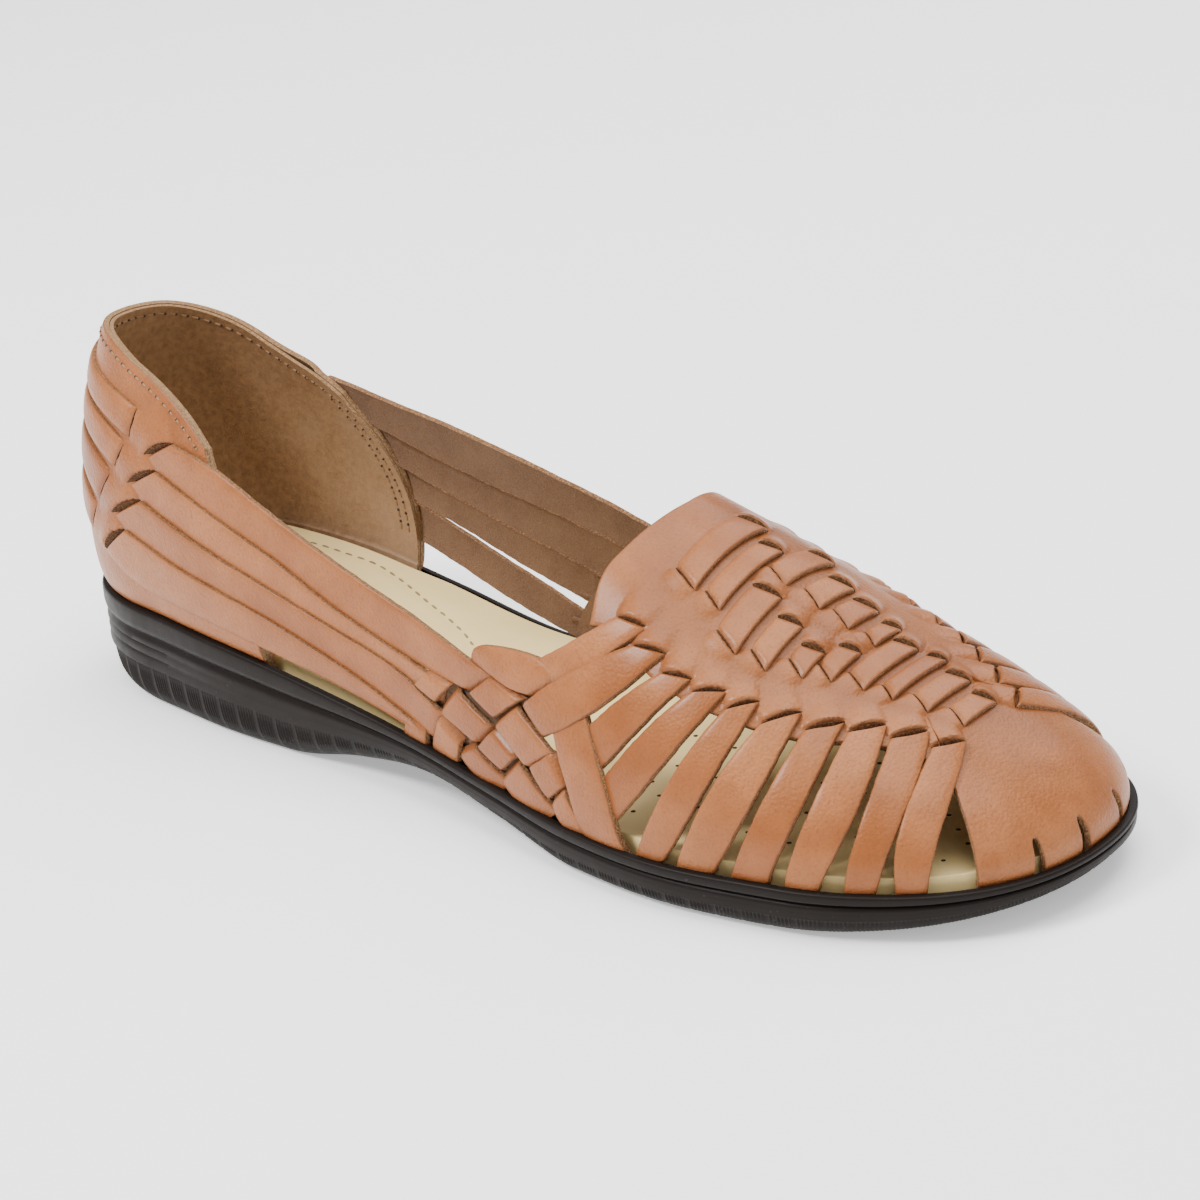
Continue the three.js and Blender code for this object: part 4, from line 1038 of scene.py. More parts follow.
def repeat(name, tree, lines, values):
    """A plain mesh of a tree's shape on every point of the lines, each line a list of chart-frame points."""
    points, edges = [], []
    for one in lines:
        edges += [(len(points) + k, len(points) + k + 1) for k in range(len(one) - 1)]
        points += list(one)
    guide = bpy.data.meshes.new(name + "_guide")
    guide.from_pydata(to_row(points).tolist(), edges if tree is row else [], [])
    holder = placed(name, guide)
    modifier = holder.modifiers.new("repeat", "NODES")
    modifier.node_group = tree.tree
    for label, value in values.items():
        modifier[tree.keys[label]] = value
    bpy.context.view_layer.update()
    mesh = bpy.data.meshes.new_from_object(holder.evaluated_get(bpy.context.evaluated_depsgraph_get()))
    holder.modifiers.clear()
    holder.data = mesh
    bpy.data.meshes.remove(guide)
    mesh.shade_smooth()
    mesh.set_sharp_from_angle(angle=SHARP_ANGLE)
    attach(holder, "root")
    print(name, len(mesh.polygons), "faces")


print("inputs of a row:", list(row.keys))

# %% [markdown]
# The tread is a field of short, fine bars across the walking direction, in columns that are shifted by
# half their spacing, inside a smooth border. The bars stand on the recessed field and end level with the border.

# %% Tread
BAR_LENGTH, BAR_WIDTH, BAR_PITCH, BAR_ROW = 7.0, 0.9, 2.6, 9.0
TREAD_ENDS, WIDEST = 8, 60  # mm left free at heel and toe, and more than half the sole's width
TUCK_ROOM, BAR_CLEAR = 6.2, 0.05  # for the tuck of the sole's side, and from the bars to the floor
margin = BORDER_WIDTH + TUCK_ROOM + BAR_LENGTH / 2
field = []
for column, x in enumerate(np.arange(TREAD_ENDS, SOLE_LENGTH - TREAD_ENDS, BAR_PITCH)):
    low = float(outline_y(np.array(x), -1)) + margin
    high = float(outline_y(np.array(x), 1)) - margin
    for y in np.arange(-WIDEST + (column % 2) * BAR_ROW / 2, WIDEST, BAR_ROW):
        if low < y < high and HEEL_ROUND * 0.45 < x < SOLE_LENGTH - TOE_ROUND * 0.35:
            field.append((x, y, float(underside(np.array(x))) + TREAD_RECESS / 2 + BAR_CLEAR))
repeat("tread_bars", bars, [field], {
    "Size": (BAR_WIDTH * MM, BAR_LENGTH * MM, TREAD_RECESS * MM), "Turn": (0.0, 0.0, 0.0),
    "Finish": rubber.material})

# %% [markdown]
# ## Insole
#
# The insole lies inside the leather, a little dished, with a rolled edge. A heel pad is stitched down on
# it, so a shallow trough follows the seam. Its top is a grid of rows across the shoe, from the outer to
# the inner edge, which lets the dish and the trough be simple sums of the place in plan.

# %% Insole
COUNTER_WALL, VAMP_WALL, INSOLE_RISE, INSOLE_GAP, FIT_GAP = 2.4, 1.7, 2.0, 0.8, 0.3
INSOLE_DISH, SEAM_TROUGH, SEAM_WIDTH = 0.9, 0.45, 1.3
COUNTER_END, COUNTER_FADE = 0.26, 0.04  # shares of the sole's length
PAD_SEAM = [(14, 12), (24, 19.5), (40, 21.3), (50, 21.2), (60, 21), (70, 18.5), (80, 15), (89, 12),
            (98, 8), (106, 2), (110, -6), (107, -14), (97, -18.5), (80, -20)]


def dish(v):
    """How far the insole's top lies below its edge, at the share v across it."""
    return INSOLE_DISH * (4 * v * (1 - v)) ** 0.6


insole_x = SOLE_LENGTH * (1 - np.cos(np.linspace(0, np.pi, 181))) / 2
beyond_counter = np.clip((insole_x / SOLE_LENGTH - COUNTER_END) / COUNTER_FADE, 0, 1)
insole_wall = COUNTER_WALL + (VAMP_WALL - COUNTER_WALL) * beyond_counter
pad_line = along(PAD_SEAM, np.linspace(0, 1, 160))
half_t = np.interp(insole_x, along_shoe(np.linspace(0, 1, 2000)), np.linspace(0, 1, 2000))
edge_inset = FEATHER_INSET + insole_wall + INSOLE_GAP
outer_edge = ring_points(half_t, edge_inset)
inner_edge = ring_points(2 - half_t, edge_inset)
across = paced(np.linalg.norm(outer_edge - inner_edge, axis=1) + 0.01, 44)
plan = outer_edge[:, None] + (inner_edge - outer_edge)[:, None] * across[..., None]
seam_gap = distance_to(plan.reshape(-1, 2), pad_line).reshape(plan.shape[:2])
hollow = dish(across) + SEAM_TROUGH * np.exp(-(seam_gap / SEAM_WIDTH) ** 2)
top_z = rim_height(plan[..., 0]) + INSOLE_RISE - hollow
top = np.concatenate([plan, top_z[..., None]], axis=-1)
upright = np.zeros_like(top) + np.array([0, 0, 1.0])
insole_wall_height = INSOLE_RISE + RECESS_DEPTH - FIT_GAP - INSOLE_DISH
insole_shell = shell([(top, upright, marks(0 * across), None)], insole_wall_height)
insole = make_piece("insole_board", [insole_shell], (insole_finish,) * 3)
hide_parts("insole")

# %% [markdown]
# The seam of the heel pad is a row of small sunken stitches. The forefoot of the insole is pierced by a
# staggered grid of small holes that let the foot breathe, each drawn as a flat dark dot of painted shade.

# %% Seam and perforations of the insole
PIERCED, PIERCE_PITCH = (158, 246), 8.5  # from and to along the shoe, in mm
INSOLE_EDGE, PIERCE_MARGIN = 5, 13  # mm inside the sole's outline


def on_insole(xy, sink):
    xy = np.asarray(xy, float)
    middle = (outline_y(xy[:, 0], -1) + outline_y(xy[:, 0], 1)) / 2
    half = (outline_y(xy[:, 0], 1) - outline_y(xy[:, 0], -1)) / 2 - INSOLE_EDGE
    v = np.clip((xy[:, 1] - middle) / half / 2 + 0.5, 0, 1)
    z = rim_height(xy[:, 0]) + INSOLE_RISE - dish(v) - sink
    return np.concatenate([xy, z[:, None]], axis=1)


repeat("pad_stitches", row, [on_insole(pad_line, SEAM_TROUGH - 0.08)], {
    "Pitch": 3.6 * MM, "Size": (0.3 * MM, 0.3 * MM, 1.1 * MM), "Finish": seam_thread.material})
holes = []
for column, x in enumerate(np.arange(*PIERCED, PIERCE_PITCH * 0.6)):
    low, high = (float(outline_y(np.array(x), s)) - s * PIERCE_MARGIN for s in (-1, 1))
    for y in np.arange(-WIDEST + (column % 2) * PIERCE_PITCH / 2, WIDEST, PIERCE_PITCH):
        if low < y < high:
            holes.append((x, y))
# each hole is a flat dark dot of painted shade
repeat("insole_hole_shades", dots, [on_insole(holes, 0.0)], {
    "Size": (0.55 * MM, 0.55 * MM, 0.1 * MM), "Finish": hole_shade.material})

# %% [markdown]
# ## Side straps and their slits
#
# Four straps run along each side, from slits in the heel counter to the weave at the waist. The real
# straps go through the counter and come out again nearer the heel. Each one starts at a slit, where it
# rises over a tight shoulder, and dives under the first woven strip. The lip of a slit is a crescent of
# cut leather behind the strap.

# %% Tables of the side straps
OUTER_STRAPS = [
    ([(0.214, 0.36), (0.263, 0.35), (0.305, 0.32), (0.356, 0.29), (0.406, 0.27), (0.459, 0.26),
      (0.523, 0.25)],
     [(0.18, 0.3), (0.239, 0.26), (0.278, 0.24), (0.318, 0.22), (0.368, 0.185), (0.43, 0.165),
      (0.498, 0.18)]),
    ([(0.197, 0.29), (0.239, 0.268), (0.318, 0.226), (0.368, 0.192), (0.42, 0.172), (0.47, 0.165)],
     [(0.16, 0.23), (0.2, 0.205), (0.29, 0.165), (0.35, 0.146), (0.41, 0.132), (0.464, 0.11)]),
    ([(0.18, 0.22), (0.239, 0.19), (0.318, 0.164), (0.37, 0.148), (0.422, 0.134), (0.47, 0.1)],
     [(0.138, 0.16), (0.2, 0.12), (0.28, 0.1), (0.328, 0.088), (0.39, 0.06), (0.46, 0.02)]),
    ([(0.158, 0.15), (0.221, 0.125), (0.289, 0.11), (0.34, 0.092), (0.39, 0.07), (0.45, 0.03)],
     [(0.125, 0.09), (0.168, 0.05), (0.244, 0.04), (0.3, 0.034), (0.362, 0.028), (0.44, 0.01)]),
]
INNER_STRAPS = [
    ([(0.205, 0.335), (0.267, 0.335), (0.326, 0.36), (0.384, 0.385), (0.427, 0.395), (0.48, 0.38),
      (0.53, 0.335)],
     [(0.18, 0.28), (0.24, 0.265), (0.285, 0.26), (0.35, 0.275), (0.42, 0.295), (0.47, 0.29), (0.52, 0.25)]),
    ([(0.19, 0.272), (0.24, 0.253), (0.3, 0.25), (0.36, 0.265), (0.43, 0.283), (0.495, 0.26)],
     [(0.16, 0.22), (0.22, 0.2), (0.285, 0.19), (0.35, 0.195), (0.42, 0.2), (0.48, 0.17)]),
    ([(0.175, 0.212), (0.239, 0.188), (0.3, 0.178), (0.36, 0.182), (0.422, 0.185), (0.47, 0.16)],
     [(0.138, 0.155), (0.22, 0.138), (0.285, 0.13), (0.35, 0.125), (0.42, 0.115), (0.465, 0.09)]),
    ([(0.158, 0.15), (0.221, 0.125), (0.285, 0.115), (0.35, 0.102), (0.41, 0.088), (0.46, 0.05)],
     [(0.125, 0.09), (0.19, 0.06), (0.285, 0.05), (0.35, 0.034), (0.41, 0.02), (0.45, 0.0)]),
]
STRAPS = {-1: OUTER_STRAPS, 1: INNER_STRAPS}
print("straps on the outer and the inner side:", len(OUTER_STRAPS), len(INNER_STRAPS))

# %% [markdown]
# The straps overlap like roof tiles: each one's upper edge stands up a little, and its lower edge goes
# under the next. Every strap leaves its slit behind, for the counter's sheet to be lifted there.

# %% Side straps
STRAP_LIFT = [0.9, 1.0, 0.75, 0.65, 0.55, 0.5]
STRAP_WALL = 1.3
STRAP_SLIT = (1.6, 1.15, 6.5)  # lip, gape and reach in mm
shells, counter_slits = [], []
for side, straps in STRAPS.items():
    for rear, front in straps:
        shells.append(strip(rear, front, side, STRAP_LIFT, STRAP_WALL, dive=(1.5, 1.3),
                            shoulder=(1.6, 4.0), reach=(0.9, 1.5), crown=0.25, tilt=-1.0, across=7))
        counter_slits.append(end_slit(rear, front, side, False, STRAP_SLIT))
make_piece("side_straps", shells)

# %% [markdown]
# Nearer the heel the same four straps come out again and wrap it, rising to the centre of the back, where
# the ones from both sides meet in a chevron. They are puffed, because they are pulled over the stiff
# counter.

# %% Straps round the heel
HEEL_STRAPS = [
    ([(0.172, 0.4), (0.094, 0.44), (-0.015, 0.475)], [(0.164, 0.33), (0.094, 0.375), (-0.015, 0.41)]),
    ([(0.16, 0.32), (0.094, 0.365), (-0.015, 0.4)], [(0.146, 0.26), (0.094, 0.3), (-0.015, 0.34)]),
    ([(0.142, 0.25), (0.09, 0.29), (-0.015, 0.33)], [(0.122, 0.18), (0.08, 0.22), (-0.015, 0.265)]),
    ([(0.118, 0.17), (0.075, 0.205), (-0.015, 0.255)], [(0.105, 0.11), (0.06, 0.15), (-0.015, 0.19)]),
]
INNER_DROP = 0.3  # the collar falls away faster on the inner side, and so do the straps under it
HEEL_SLIT = (1.15, 0.3, 5.5)


def heel_curve(points, side):
    return bowed([(q, g - INNER_DROP * max(q, 0) * (side > 0)) for q, g in points])


shells = []
for side in (-1, 1):
    for rear, front in HEEL_STRAPS:
        rear, front = heel_curve(rear, side), heel_curve(front, side)
        rise = 0.75 if side < 0 else 0.9
        shells.append(strip(rear, front, side, [0.5, rise, rise], STRAP_WALL, dive=(1.1, 1.0),
                            shoulder=(2.0, 2.0), reach=(0.8, 0.0), crown=0.5, across=7))
        counter_slits.append(end_slit(rear, front, side, False, HEEL_SLIT))
make_piece("heel_straps", shells)

# %% [markdown]
# ## Heel counter
#
# The counter is two layers, leather and lining, cut raw at the collar so that both edges show. Between
# its two rows of slits a band of leather swells over the straps that pass behind it. The slits of the
# straps were noted above, and they lift this sheet from both sides, which gives the wavy band.

# %% Counter
OUTER_COLLAR = columns("at g", [
    (0, 0.52), (0.06, 0.53), (0.12, 0.52), (0.182, 0.475), (0.22, 0.43), (0.245, 0.38)])
INNER_COLLAR = columns("at g", [
    (0, 0.52), (0.06, 0.5), (0.12, 0.45), (0.182, 0.375), (0.205, 0.35), (0.225, 0.32)])
OUTER_FRONT = [(0.29, 0), (0.288, 0.1), (0.279, 0.19), (0.264, 0.285), (0.245, 0.38)]
INNER_FRONT = [(0.281, 0), (0.28, 0.08), (0.273, 0.16), (0.254, 0.24), (0.225, 0.32)]
COUNTER_LEATHER, LINING_WALL, LAYER_GAP = 1.35, 0.95, 0.08
COUNTER_RUN, COUNTER_HEIGHT = 150.0, 45.0  # roughly, to space the grid's points
BELOW_RIM = [-0.1, -0.05]  # shares of the rows that go down into the sole's recess


def side_of(side):
    return (OUTER_FRONT, OUTER_COLLAR) if side < 0 else (INNER_FRONT, INNER_COLLAR)


def collar_share(side, q):
    return read(side_of(side)[1], "g", q)


def counter_grid(depth, around, upward, slits=()):
    """The counter's sheet at a depth below the chart, from the inner front edge round to the outer one."""
    half = paced(COUNTER_RUN, around)[0]
    w = np.concatenate([-1 + half, half[1:]])
    rows_q, rows_g = [], []
    for turn in w:
        front, collar = side_of(1 if turn < 0 else -1)
        top_share = float(read(collar, "g", front[-1][0] * abs(turn)))
        up_share = np.concatenate([BELOW_RIM, paced(COUNTER_HEIGHT, upward)[0] * top_share])
        front_q = along(front, np.clip(up_share / front[-1][1], 0, 1))[:, 0]
        rows_q.append(front_q * abs(turn))
        rows_g.append(np.where(turn < 0, 2 - up_share, up_share))
    q, g = np.array(rows_q), np.array(rows_g)
    normal, base = last_normal(q, g), last_point(q, g)
    swell, gap, valley = lips_height(base, slits)
    # the valley's painted shade goes into the bend mark
    return base + normal * (swell - depth)[..., None], normal, marks(valley, gap), None


counter = counter_grid(0, 128, 58, counter_slits)
make_piece("counter", [shell([counter], COUNTER_LEATHER)], (leather, lining, collar_edge))
lining_grid = counter_grid(COUNTER_LEATHER + LAYER_GAP, 84, 34)
make_piece("counter_lining", [shell([lining_grid], LINING_WALL)], (lining, lining, collar_edge))
# the crescents are painted dark as the shade inside the slits
make_piece("counter_slits", [slit.crescent() for slit in counter_slits], (shaded_slit_edge,) * 3)

# %% [markdown]
# ## Weave at the waist
#
# Two families of strips cross at the waist, over and under in turn. What shows is a set of short pieces,
# each of them the place where a strip goes over: a puffed tile with a round shoulder at both ends, where
# it dives under its neighbours. A backing of suede lies behind, as the layers below do.

# %% Woven tiles
WEAVE = [
    (((0.523, 0.25), (0.553, 0.24)), ((0.5, 0.18), (0.525, 0.16))),
    (((0.458, 0.17), (0.481, 0.17)), ((0.442, 0.12), (0.464, 0.11))),
    (((0.488, 0.17), (0.47, 0.1)), ((0.524, 0.14), (0.506, 0.08))),
    (((0.549, 0.22), (0.527, 0.15)), ((0.588, 0.17), (0.561, 0.1))),
    (((0.527, 0.14), (0.55, 0.11)), ((0.507, 0.07), (0.532, 0.05))),
    (((0.586, 0.17), (0.6, 0.11)), ((0.562, 0.1), (0.581, 0.05))),
    (((0.469, 0.09), (0.49, 0.06)), ((0.452, -0.02), (0.48, -0.02))),
    (((0.504, 0.07), (0.487, 0.03)), ((0.534, 0.03), (0.519, -0.05))),
    (((0.552, 0.1), (0.532, 0.03)), ((0.586, 0.03), (0.56, -0.06))),
    (((0.598, 0.1), (0.585, 0.05)), ((0.618, 0.0), (0.6, -0.06))),
    (((0.432, 0.04), (0.452, 0.04)), ((0.419, -0.06), (0.448, -0.06))),
]
WEAVE_BACKING = ([(0.43, -0.05), (0.437, 0.03), (0.452, 0.12), (0.474, 0.18), (0.5, 0.24)],
                 [(0.612, -0.05), (0.602, 0.03), (0.582, 0.12), (0.566, 0.2), (0.556, 0.3)])
WEAVE_TURN = ([(0.5, 0.24), (0.504, 0.283), (0.522, 0.315), (0.56, 0.35), (0.588, 0.335)],
              [(0.523, 0.25), (0.532, 0.248), (0.545, 0.25), (0.553, 0.255), (0.561, 0.26)])
TILE_LIFT, TILE_CROWN = 0.9, 0.28
shells, backing = [], []
for side in (-1, 1):
    for start, end in WEAVE:
        planted = min(end[0][1], end[1][1]) < 0.01
        rise = [TILE_LIFT, 0.7, 0.1] if planted else [TILE_LIFT] * 3
        shells.append(strip([start[0], end[0]], [start[1], end[1]], side, rise, wall=1.2,
                            dive=(1.5, 0.0 if planted else 1.5), shoulder=(1.9, 1.9), reach=(0.8, 0.8),
                            crown=TILE_CROWN, spacing=1.0, across=7))
    shells.append(strip(*WEAVE_TURN, side, [0.1, 0.7, 0.8, 0.5, 0.0], dive=(1.2, 1.2), crown=0.4, across=9))
    backing.append(strip(*WEAVE_BACKING, side, [-1.3, -1.3], wall=0.7, crown=0.0, spacing=3, across=14))
make_piece("side_weave", shells)
make_piece("weave_backing", backing, (suede, suede, cut_edge))

# %% [markdown]
# In front of the weave one wide strap runs from the sole up to the vamp's corner, over two of the
# slanting strips and under a third. The four slanting strips tie the vamp into the weave.

# %% Cross strap and slanting strips
CROSS_STRAP = ([(0.617, -0.07), (0.602, 0.115), (0.583, 0.232)],
               [(0.655, -0.07), (0.638, 0.145), (0.6105, 0.312)])
SLANT_STRIPS = [
    ([(0.56, 0.34), (0.594, 0.45), (0.617, 0.55)], [(0.58, 0.31), (0.616, 0.435), (0.641, 0.57)],
     [0.2, 0.6, 0.9, 1.0], 1.4),
    ([(0.554, 0.23), (0.598, 0.38), (0.635, 0.51)], [(0.576, 0.19), (0.627, 0.345), (0.659, 0.54)],
     [1.1, 1.3, 0.9, 1.0], 1.8),
    ([(0.598, 0.2), (0.631, 0.345), (0.661, 0.49)], [(0.615, 0.13), (0.651, 0.3), (0.682, 0.52)],
     [-0.3, 0.2, 0.7, 1.0], 1.0),
    ([(0.618, 0.1), (0.656, 0.305), (0.685, 0.49)], [(0.632, 0.03), (0.684, 0.31), (0.707, 0.55)],
     [-0.3, 0.1, 0.6, 1.0], 0.6),
]
SLANT_SLIT = (1.4, 0.35, 4.5)
shells, vamp_slits = [], []
for side in (-1, 1):
    shells.append(strip(*CROSS_STRAP, side, [0.0, 0.9, 1.2, 0.4], dive=(0, 1.4), shoulder=(1, 3),
                        reach=(1, 1), crown=0.3, across=8))
    for rear, front, rise, dip in SLANT_STRIPS:
        rear, front = bowed(rear), bowed(front)
        shells.append(strip(rear, front, side, rise, dive=(dip, 1.5), shoulder=(2.5, 1.3), reach=(1.2, 0.8),
                            crown=0.3, across=7))
        vamp_slits.append(end_slit(rear, front, side, True, SLANT_SLIT))
make_piece("slanting_strips", shells)

# %% [markdown]
# Six more strips fan out from the vamp to the sole over the toes. Their feet go down into the recess of
# the sole and their tops turn into slits of the vamp.

# %% Fan strips
FAN_STRIPS = [
    ([(0.659, 0), (0.682, 0.2), (0.71, 0.5)], [(0.682, 0), (0.712, 0.25), (0.727, 0.58)]),
    ([(0.692, 0), (0.718, 0.29), (0.734, 0.52)], [(0.721, 0), (0.746, 0.28), (0.752, 0.63)]),
    ([(0.733, 0), (0.75, 0.25), (0.759, 0.58)], [(0.76, 0), (0.779, 0.35), (0.78, 0.68)]),
    ([(0.771, 0), (0.785, 0.35), (0.789, 0.65)], [(0.795, 0), (0.817, 0.36), (0.829, 0.73)]),
    ([(0.811, 0), (0.821, 0.33), (0.836, 0.68)], [(0.832, 0), (0.852, 0.38), (0.892, 0.74)]),
    ([(0.844, 0), (0.853, 0.4), (0.887, 0.67)], [(0.865, 0), (0.882, 0.36), (0.938, 0.69)]),
]
FAN_SLIT = (1.5, 0.35, 4.5)
shells = []
for side in (-1, 1):
    for rear, front in FAN_STRIPS:
        rear, front = bowed(rear), bowed(front)
        shells.append(strip(rear, front, side, [0.0, 0.2, 0.5, 0.8, 1.1], dive=(0, 1.5), shoulder=(1, 1.3),
                            reach=(2.2, 0.8), crown=0.3, across=8))
        vamp_slits.append(end_slit(rear, front, side, True, FAN_SLIT))
make_piece("fan_strips", shells)

# %% [markdown]
# ## Vamp and toe cap
#
# The vamp and the toe cap are one skin. It is built from three grids that share their edges: a body up to
# the line of the toes, a fan over the toes, and the skirt of the cap, where the slits are gaps in the
# grid. The leather is lifted beyond each slit that a strip goes through, which gives the vamp its
# quilted look. The grids are fine, about half a millimetre, because the lip of a slit is a steep step.

# %% Woven ends on the vamp
VAMP_WEAVE = [
    (0.684, 0.023, -0.163, 0.081), (0.71, 0.018, -0.169, 0.041), (0.735, 0.022, -0.227, -0.081),
    (0.761, 0.018, -0.215, -0.105), (0.785, 0.017, -0.174, -0.122), (0.802, 0.016, -0.134, -0.052),
    (0.822, 0.018, -0.099, 0.081), (0.843, 0.014, -0.07, 0.11), (0.864, 0.018, -0.035, 0.099),
    (0.888, 0.018, 0.0, 0.093), (0.731, 0.02, -0.006, 0.145), (0.758, 0.019, 0.012, 0.11),
    (0.781, 0.019, 0.023, 0.105), (0.804, 0.014, 0.035, 0.105),
]  # place and width as shares of the length, outer and inner end as shares of the ball's width
TILE_FLARE, TILE_DIVE, TILE_WALL = 0.02, 1.5, 1.1
TILE_REACH, TILE_SHOULDER, TILE_SPACING = 0.8, 1.4, 0.8
HALVINGS = 32


def under_plan(x, y):
    """The chart's q and g under places in plan, by halving."""
    x, y = np.broadcast_arrays(np.asarray(x, float), np.asarray(y, float))
    px, py = ridge_point(x)
    side = np.where(y < py, -1.0, 1.0)
    toe_line = SOLE_LENGTH - TOE_ROUND
    low = np.where(x > toe_line, 1 - TOE_ARC / EDGE_LENGTH, 0.0)
    high = np.ones_like(x)
    turn_to = np.arctan2(np.abs(y - py), x - px)
    for _ in range(HALVINGS):
        q = (low + high) / 2
        ex = along_shoe(q)
        past = np.where(x > toe_line, np.arctan2(np.abs(outline_y(ex, side) - py), ex - px) < turn_to, ex > x)
        high, low = np.where(past, q, high), np.where(past, low, q)
    q = (low + high) / 2
    goal = np.hypot(x - px, y - py)
    near, far = np.zeros_like(x), np.ones_like(x)
    for _ in range(HALVINGS):
        share = (near + far) / 2
        p = last_point(q, np.where(side < 0, share, 2 - share))
        outside = np.hypot(p[..., 0] - px, p[..., 1] - py) > goal
        near, far = np.where(outside, share, near), np.where(outside, far, share)
    share = (near + far) / 2
    return q, np.where(side < 0, share, 2 - share)


print("chart place of the vamp's middle:", [round(float(v), 3) for v in under_plan(0.75 * SOLE_LENGTH, 0)])

# %% [markdown]
# A woven end is a short tile, highest at its front edge, that dives into a slit at both ends. Its slit at
# the inner end gapes, and the one at the outer end lies almost flat.

# %% Tiles and their slits


def vamp_tile(at, width, outer, inner):
    """A woven end, lower at its rear edge, that dives into a slit at its outer and inner end."""
    size_y, size_x = BALL_WIDTH * (inner - outer), SOLE_LENGTH * width
    run = size_y + 2 * TILE_REACH
    u = paced(run, max(7, int(size_y / TILE_SPACING)))[0] * run - TILE_REACH
    v = paced(size_x, 5)[0]
    share, flare = u / size_y, TILE_FLARE * v[None, :]
    y = BALL_WIDTH * ((outer - flare) + (inner - outer + 2 * flare) * share[:, None])
    x = SOLE_LENGTH * (at - width / 2 + width * v[None, :]) + 0 * y
    q, g = under_plan(x, y)
    dips = TILE_DIVE * (shoulder_dip(u, TILE_SHOULDER) + shoulder_dip(size_y - u, TILE_SHOULDER))[:, None]
    height = 0.3 + 1.0 * v[None, :] + 0.2 * (1 - (2 * v[None, :] - 1) ** 4) - dips
    normal = last_normal(q, g)
    # the dive is painted as shade through the bend mark
    mark = marks(np.clip(dips + 0 * v, 0, 1), FAR, np.maximum(height + BEHIND, THINNEST))
    return last_point(q, g) + normal * height[..., None], normal, mark, None


class TileSlit(Slit):
    """The slit at one end of a woven end, laid out in plan: way is -1 at the outer end and 1 at the inner."""

    def __init__(self, at, width, end, way, lip, gape, reach):
        self.x = SOLE_LENGTH * (at - width / 2), SOLE_LENGTH * (at + width / 2)
        self.y, self.way = (BALL_WIDTH * end, BALL_WIDTH * (end + way * TILE_FLARE)), way
        one, two = (under_plan(x, y) for x, y in zip(self.x, self.y))
        toward = under_plan(sum(self.x) / 2, sum(self.y) / 2 + 3 * way)
        super().__init__(one, two, toward, lip, gape, reach)

    def chart(self, share, beyond):
        t = (share + 1) / 2
        (x0, x1), (y0, y1) = self.x, self.y
        return under_plan(x0 + (x1 - x0) * t, y0 + (y1 - y0) * t + self.way * beyond)


INNER_SLIT, OUTER_SLIT = (1.4, 0.5, 3.4), (1.0, 0.05, 3.0)
shells = []
for at, width, outer, inner in VAMP_WEAVE:
    shells.append(shell([vamp_tile(at, width, outer, inner)], TILE_WALL))
    vamp_slits.append(TileSlit(at, width, inner, 1, *INNER_SLIT))
    vamp_slits.append(TileSlit(at, width, outer, -1, *OUTER_SLIT))
make_piece("vamp_weave", shells)

# %% [markdown]
# The body of the skin runs from the throat to the line of the toes. Its rows close up at the throat and
# its columns at the sides, where the edge is rounded. The cap goes on from its last row.

# %% The skin of vamp and cap
THROAT = [(0.598, 0.49), (0.594, 0.61), (0.601, 0.73), (0.607, 0.86), (0.61, 1)]
VAMP_EDGE = columns("at g", [
    (0.598, 0.49), (0.617, 0.51), (0.637, 0.48), (0.661, 0.46), (0.688, 0.46), (0.709, 0.475),
    (0.734, 0.5), (0.759, 0.545), (0.789, 0.61), (0.836, 0.645), (0.885, 0.62),
])
CAP_SIDE, CAP_SHOULDER = 0.899, 0.5
CAP_SLITS = [(0.945, 0.2), (0.987, 0.21), (1.032, 0.2), (1.082, 0.16)]  # q and top
SLIT_HALF = 1.0 / EDGE_LENGTH
ROUNDING = np.array([0.35, 1.0]) * EDGE_RADIUS / EDGE_LENGTH
TOE_LINE = 1 - TOE_ARC / EDGE_LENGTH

toward_ridge = np.concatenate([[0, 0.004, 0.011], np.linspace(0.011, 1, 68)[1:]])
down_vamp = np.concatenate([[0, 0.003, 0.009], np.linspace(0.009, 1, 88)[1:]])


def vamp_sheet(q, g, keep=None):
    normal, base = last_normal(q, g), last_point(q, g)
    swell, gap, valley = lips_height(base, vamp_slits)
    # the valley's painted shade goes into the bend mark
    return base + normal * swell[..., None], normal, marks(valley, gap), keep


throat_q = along(THROAT, toward_ridge)[:, 0]
edge_share = read(VAMP_EDGE, "g", THROAT[0][0] + (TOE_LINE - THROAT[0][0]) * down_vamp)
body_share = edge_share[:, None] + (1 - edge_share[:, None]) * toward_ridge[None, :]
body_q = throat_q[None, :] + (TOE_LINE - throat_q[None, :]) * down_vamp[:, None]
body = vamp_sheet(np.concatenate([body_q, body_q[:, ::-1][:, 1:]], axis=1),
                  np.concatenate([body_share, 2 - body_share[:, ::-1][:, 1:]], axis=1))
print("vamp body", body[0].shape)

# %% [markdown]
# The rows of the cap have to run along the sides of its slits, so each slit brings rows of its own: one
# on each side, and two more beside each for the rounded edge. Between a slit's two sides the faces are
# left out up to its top. A slit narrows upwards, and closes to a hair above.

# %% Rows of the cap
ROW_PITCH, ROW_GAP = 0.0028, 0.0018  # between rows, and at least to a slit's own, as shares of the edge


